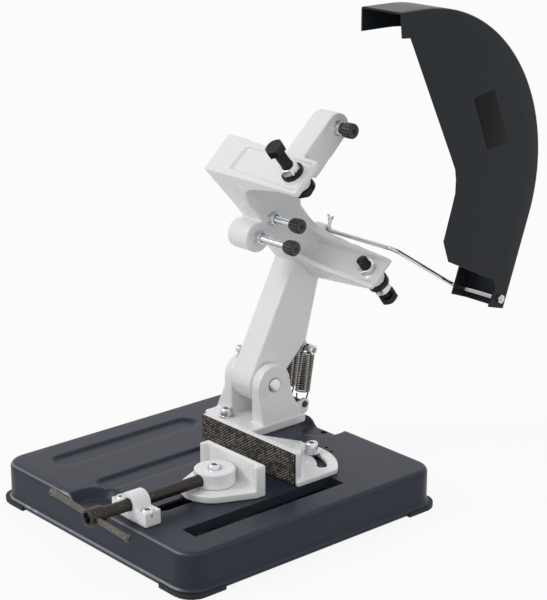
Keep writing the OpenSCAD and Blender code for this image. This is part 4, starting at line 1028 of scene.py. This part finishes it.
thin, thick = (washer(24, CLAMP_BORE, t) for t in (THIN_T, THICK_T))
fit("fork_spacers", oxide, "arm", "fork_washers", (upper_seat, thin),
    (upper_seat.shifted(-UPPER_ARM_T - THICK_T), thick), (lower_seat.shifted(-THICK_T), thick))
lock_nut, thin_nut = (hex_nut(CLAMP_AF, h, CLAMP_BORE) for h in (LOCK_H, THIN_LOCK_H))
fit("upper_lock_nut", zinc, "arm", "upper_nut", (upper_seat.shifted(THIN_T + SEAM), lock_nut))
fit("lower_lock_nuts", zinc, "arm", "lower_nuts", (lower_seat.shifted(LOWER_BOSS + SEAM), thin_nut),
    (lower_seat.shifted(-THICK_T - LOCK_H - SEAM), lock_nut))

# %% [markdown]
# ## Rests
# Three rubber caps on threaded studs steady the grinder's body. A cap is moulded with crossing grooves, a
# narrow back and a rounded front; its radius is a function of the angle and the height.

# %% Studs, nuts and rubber caps
STUD_R, PAD_R, PAD_L = 3.7, 8.1, 12.5
PAD_BACK, PAD_FRONT = 2.4, 0.9          # how much longer the moulded cap is than its plain core
GROOVES_ROUND, GROOVES_APART = 14, 2.2
RESTS = [(WALL_X, tilted(275.7, 122.3), 46.0, 22), (WALL_X, tilted(249.4, 122.6), 58.5, 22),
         (40.0, tilted(359.5, UPPER_H - 15.5), 23.0, 14)]


def cap_rows():
    """Outline of a cap as shares of its radius: the bore, a short neck, a straight side and a domed front."""
    bore = [(0, 5.0), (STUD_R / PAD_R, 5.0), (STUD_R / PAD_R, 0.3), (0.5, 0.0)]
    neck = [(0.66, 0.0), (0.72, 0.3), (0.74, 0.8), (0.80, 1.6), (0.90, 2.4)]
    side = [(0.94 + 0.06 * min(1, (z - 2.8) / 3), z) for z in np.linspace(2.8, 10.6, 27)]
    dome = [(0.97, 11.1), (0.92, 11.6), (0.85, 12.0), (0.74, 12.3), (0.60, 12.5), (0.4, 12.5), (0.2, 12.45),
            (0, 12.45)]
    longer = (PAD_L + PAD_BACK + PAD_FRONT) / PAD_L
    return [(share * PAD_R, z * longer - PAD_BACK) for share, z in bore + neck + side + dome]


def waves(z, theta):
    """1 along each groove: one wave goes round the cap and the other along it."""
    return np.abs(np.cos(GROOVES_ROUND / 2 * theta)), np.abs(np.cos(np.pi * z / GROOVES_APART))


def cap_form(r, z, theta):
    """The side is grooved where either wave is near its crest."""
    return r * (1 - 0.05 * np.maximum(*waves(z, theta)) ** 6 * ((z > 0.6) & (z < 12.2) & (r > 0.8 * PAD_R)))


def glints_of(place):
    """Where two grooves of a cap cross, for its painted glints: the product of both waves, sharpened."""
    def value(points):
        r, z, theta = place.local(points)
        return np.prod(waves(z, theta), axis=0) ** 5 * (r > 0.35 * PAD_R) * (z > 0.6)
    return value


nuts = []
for i, (x, at, reach, inside) in enumerate(RESTS, 1):
    place, body, end = across_stand(x, *at), "rest_" + "abc"[i - 1], reach - PAD_L / 2
    rows = [(0, -inside), (STUD_R, -inside), *rows_along(STUD_R, -0.5, end - 1, 0.25, THREAD),
            (STUD_R - 0.6, end), (0, end)]
    stud = place, turned(rows, 32, groove=(1.0, 0.32))
    fit(f"rest_stud_{i}_thread", zinc, body, f"rest_stud_{i}", stud, angle=50)
    front = place.shifted(reach - PAD_L)
    cap = joined(f"rest_cap_{i}_ribbed", (front, turned(cap_rows(), 112, form=cap_form)))
    # The cap's points carry its painted glints.
    dress(marked(cap, "painted_glints", glints_of(front)), rubber, body, f"rest_cap_{i}", angle=60)
    nuts += [(place, washer(16.6, 7.5, 1.3)), (place.shifted(1.3 + SEAM), hex_nut(NUT_AF, 5.2, 7.5))]
fit("rest_lock_nuts", zinc, "arm", "rest_nuts", *nuts)

# %% [markdown]
# ## The guard and its rod
# The guard is a U of sheet: a rim bent round the wheel, a narrow cheek at the far side and a wide one at
# the near side, whose inner edge wanders. It is one surface of two parameters, the way along the rim and
# the way across the U, and a Solidify modifier gives the sheet its 2 mm. The two bends across the U are
# rounded.

# %% The guard's sheet
G_CENTRE, G_R, G_LEFT, G_RIGHT, G_T = np.array([150.0, 346.0]), 173.0, 86.3, 141.8, 2.0
TAIL, TAIL_L, FRONT_L, CHEEK, BEND = np.radians(-20), 104.0, 35.3, 24.0, 2.6
ARC_L = G_R * (np.pi / 2 - TAIL)
TAIL_FROM = FRONT_L + ARC_L


def on_arc(degrees):
    return FRONT_L + G_R * (np.pi / 2 - np.radians(degrees))


def on_tail(share):
    return TAIL_FROM + TAIL_L * share


INNER_EDGE = [(0, -33.1, 148.0), (13.3, -21.4, 147.2), (on_arc(12), 41.4, 19.0), (on_arc(5), 47.2, 6.8),
              (on_arc(-1), 48.7, -4.4), (on_arc(-7), 48.3, -18.3), (on_arc(-13), 43.7, -33.1),
              (on_tail(0.16), 33.0, -66.0), (on_tail(0.38), 41.0, -88.7), (on_tail(0.80), 110.5, -122.4),
              (on_tail(0.86), 113.4, -130.1), (on_tail(1.0), 103.6, -150.1)]


def rim(s, inset):
    """Points of the rim, moved in by the inset: a straight front, an arc of G_R, then the straight tail."""
    s = s[:, None]
    angle = np.clip(np.pi / 2 - (s - FRONT_L) / G_R, TAIL, np.pi / 2)
    arc = (G_R - inset) * np.concatenate([np.cos(angle), np.sin(angle)], -1)
    front = np.minimum(s - FRONT_L, 0) * np.array([1.0, 0.0])
    tail = np.maximum(s - TAIL_FROM, 0) * np.array([np.sin(TAIL), -np.cos(TAIL)])
    return arc + front + tail


def across_u(x, yz):
    """One row of the U, at x, from points about the rim's centre."""
    return np.column_stack([np.full(len(yz), x), yz + G_CENTRE])


edge_s, edge_y, edge_z = np.array(INNER_EDGE).T
spans = [(0, FRONT_L, 5), (FRONT_L, TAIL_FROM, 60), (TAIL_FROM, on_tail(1), 12)]
s = np.unique(np.round(np.concatenate([edge_s, *[np.linspace(*span) for span in spans]]), 3))
inner = np.column_stack([np.interp(s, edge_s, edge_y), np.interp(s, edge_s, edge_z)])
bend = np.radians(np.linspace(0, 90, 5))
into, down = BEND * (1 - np.cos(bend)), BEND * (1 - np.sin(bend))
rows = [across_u(G_LEFT, rim(s, depth)) for depth in np.linspace(CHEEK, BEND, 4)]
rows += [across_u(G_LEFT + i, rim(s, d)) for i, d in zip(into[1:], down[1:])]
rows += [across_u(x, rim(s, 0.0)) for x in np.linspace(G_LEFT + BEND, G_RIGHT - BEND, 6)[1:-1]]
rows += [across_u(G_RIGHT - i, rim(s, d)) for i, d in zip(into[::-1], down[::-1])]
rows += [across_u(G_RIGHT, rim(s, BEND) + (inner - rim(s, BEND)) * t) for t in np.linspace(0, 1, 7)[1:]]
guard = to_mesh("guard_sheet", np.concatenate(rows), grid_faces(len(rows), len(s))[:, ::-1], closed=False)
sheet = guard.modifiers.new("sheet", "SOLIDIFY")
sheet.thickness, sheet.offset = G_T * MM, -1
dress(applied(guard), dark_slate, "guard", "guard_shell", angle=40)

# %% [markdown]
# The near cheek carries a bare panel: a thin plate with rounded corners. The rod is a bent round bar, with
# real bend radii, and two nuts keep the guard's cheeks on it.

# %% Bare panel, rod and nuts
def rounded(points, radius, n, closed=False):
    """Each corner becomes a parabola between points a radius before and after it."""
    points = np.asarray(points, float)
    t, out = np.linspace(0, 1, n)[:, None], []
    for a, b, c in zip(np.roll(points, 1, 0), points, np.roll(points, -1, 0)):
        p, q = (b + (other - b) / np.linalg.norm(other - b) * radius for other in (a, c))
        out.append((1 - t)**2 * p + 2 * t * (1 - t) * b + t * t * q)
    if not closed:
        out[0], out[-1] = points[:1], points[-1:]
    return np.concatenate(out)


loop = rounded([[219.6, 423.2], [250.9, 427.6], [276.2, 369.5], [243.1, 366.2]], 2.5, 5, closed=True)
middle, n = loop.mean(0), len(loop)
levels = [(G_RIGHT, 1.0), (G_RIGHT + 0.35, 1.0), (G_RIGHT + 0.5, 0.985)]
rings = [np.column_stack([np.full(n, x), middle + (loop - middle) * share]) for x, share in levels]
faces = grid_faces(3, n, wrap=True).tolist() + [tuple(range(n)), tuple(range(2 * n, 3 * n))]
dress(to_mesh("bare_panel", np.concatenate(rings), faces), panel, "guard", angle=30)

ROD_R, at_boss, at_guard = 2.4, (189.7, 253.8), (268.5, 202.3)    # radius, and depth and height of its ends
line = rounded([[-56, *at_boss], [65, *at_boss], [74.3, *at_guard], [146.8, *at_guard]], 9.0, 9)
fit("bent_rod", chrome, "rod", "guard_rod", (None, tube(line, ROD_R, 24)), angle=60)
nut = hex_nut(8.64, 4, 2 * ROD_R, 48)
nuts = [(across_stand(x, *at_guard), nut) for x in (G_LEFT - 4.2, G_RIGHT + CLEAR)]
fit("rod_lock_nuts", zinc, "rod", "rod_nuts", *nuts)

# %% [markdown]
# The rod is held in its boss by a small wing screw. The wings are two flat ears that spread like a V.

# %% Wing screw
lean_up = np.array([0.12, 0.05, 1.0])
wing_place = Place([WALL_X + 11.4, at_boss[0], 253.4], lean_up / np.linalg.norm(lean_up))
stem = [(0, 2.6), (2.0, 2.6), *rows_along(2.0, 3, 11.8, 1), (2.9, 12.2), (3.1, 14.5), (2.3, 16.0), (0, 16.3)]
parts = [(wing_place, turned(stem, 24))]
u, v = np.meshgrid(np.linspace(0, 1, 9), np.arange(16) * 2 * np.pi / 16, indexing="ij")
wide = 2.6 * np.sin(np.pi * np.clip(0.22 + 0.74 * u, 0, 1)) ** 0.6
faces = grid_faces(9, 16, wrap=True).tolist() + [tuple(range(16)), tuple(range(8 * 16, 9 * 16))]
for side in (-1, 1):
    x, y, z = side * (0.8 + 4.4 * u), 1.2 * np.sin(v) * (1 - 0.3 * u), 13.8 + 3.6 * u + wide * np.cos(v)
    parts.append((wing_place, (np.stack([x, y, z], -1).reshape(-1, 3), faces)))
fit("wing_screw", zinc, "arm", "rod_lock_screw", *parts, angle=50)

# %% [markdown]
# ## What stays as the solid gives it
# The guide that runs in the tray's slot already has its shape, so it only gets a finish.

# %% Repainted solid
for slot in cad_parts["swivel_guide"].material_slots:
    slot.material = zinc

# %% [markdown]
# ## Studio
# The stand is seen as in the photograph, with a long lens from the front right, a little above. The floor
# is plain and pale. A wide sky lights everything evenly and one broad lamp from the upper left gives shape.
# The camera, mirrors and glass see a white background, and the floor keeps the soft shadow.

# %% Camera
EYE = np.array([1.3552, -1.16625, 0.7837])
AZIMUTH, ELEVATION, LENS, SENSOR = np.radians(48.8625), np.radians(17.7776), 108.6, 36.0
scene = bpy.context.scene
level = np.cos(ELEVATION)
behind = np.array([np.sin(AZIMUTH) * level, -np.cos(AZIMUTH) * level, np.sin(ELEVATION)])
right = np.array([np.cos(AZIMUTH), np.sin(AZIMUTH), 0])
camera = bpy.data.objects.new("camera", bpy.data.cameras.new("camera"))
scene.collection.objects.link(camera)
camera.data.lens, camera.data.sensor_width, camera.data.clip_end = LENS, SENSOR, 100
basis = np.eye(4)
basis[:3] = np.column_stack([right, np.cross(behind, right), behind, EYE])
camera.matrix_world = Matrix(basis.tolist())
scene.camera = camera
print("camera looks along", np.round(-behind, 3))

# %% [markdown]
# The floor's own colour would be a pale grey in the picture. Rays from the camera, mirrors and glass see it
# shine, mixed with its lit colour so that the shadow stays. Under the tray it doesn't shine, or the slots
# would.

# %% Floor
FLOOR_HALF = 14.0               # metres
FLOOR_GLOW = 0.90               # share of plain white that the camera and mirrors see in the floor
TRAY_MIDDLE, TRAY_HALF = (0.0, -0.05925), (0.158, 0.166)
square = np.array([[-1, -1, 0], [1, -1, 0], [1, 1, 0], [-1, 1, 0]]) * FLOOR_HALF
floor = to_mesh("floor", square / MM + MIDDLE, [(0, 1, 2, 3)], closed=False)
f = Finish("studio_floor", Specular_IOR_Level=0.1)
colour = f.mix(f.noise(0.8, 2.0), (0.76, 0.76, 0.76), (0.79, 0.79, 0.79))
floor.data.materials.append(f.finished(colour, 0.9 + f.noise(3.0) * 0.05))
away_x, away_y = ((f.node("SeparateXYZ", {}, f.place, out=axis) - middle).maths("ABSOLUTE") / half
                  for axis, middle, half in zip((0, 1), TRAY_MIDDLE, TRAY_HALF))
outside = f.ramp(away_x.maths("MAXIMUM", away_x, away_y), 0.93, 1.0)
lit, glow = Wire(f, f.surface.outputs[0]), f.node("Emission", {}, (1, 1, 1), 1.0)
both = f.node("MixShader", {}, f.seen_directly() * FLOOR_GLOW * outside, lit, glow)
f.feed(next(n for n in f.tree.nodes if n.type == "OUTPUT_MATERIAL"), {"Surface": both})
print("floor of", 2 * FLOOR_HALF, "m")

# %% [markdown]
# Surfaces gather a slightly dimmer sky than the white that the camera sees. The lamp is a sun with a wide
# disc, so its shadows have soft edges.

# %% World and lamp
world = bpy.data.worlds.new("studio")
scene.world = world
world.use_nodes = True
world.node_tree.nodes.clear()
sky = Nodes(world.node_tree)
dim = sky.node("Background", {}, (0.98, 0.99, 1.0), 0.70)
plain_white = sky.node("Background", {}, (1, 1, 1), 1.0)
shown = sky.node("MixShader", {}, sky.seen_directly(), dim, plain_white)
sky.feed(world.node_tree.nodes.new("ShaderNodeOutputWorld"), {"Surface": shown})

lamp = bpy.data.objects.new("key", bpy.data.lights.new("key", "SUN"))
lamp.data.energy, lamp.data.angle = 0.85, np.radians(18)
lamp.rotation_euler = Vector((-0.42, -0.72, 0.66)).to_track_quat("Z", "Y").to_euler()
scene.collection.objects.link(lamp)
scene.view_settings.view_transform = "Standard"
print("lamp and world are set")
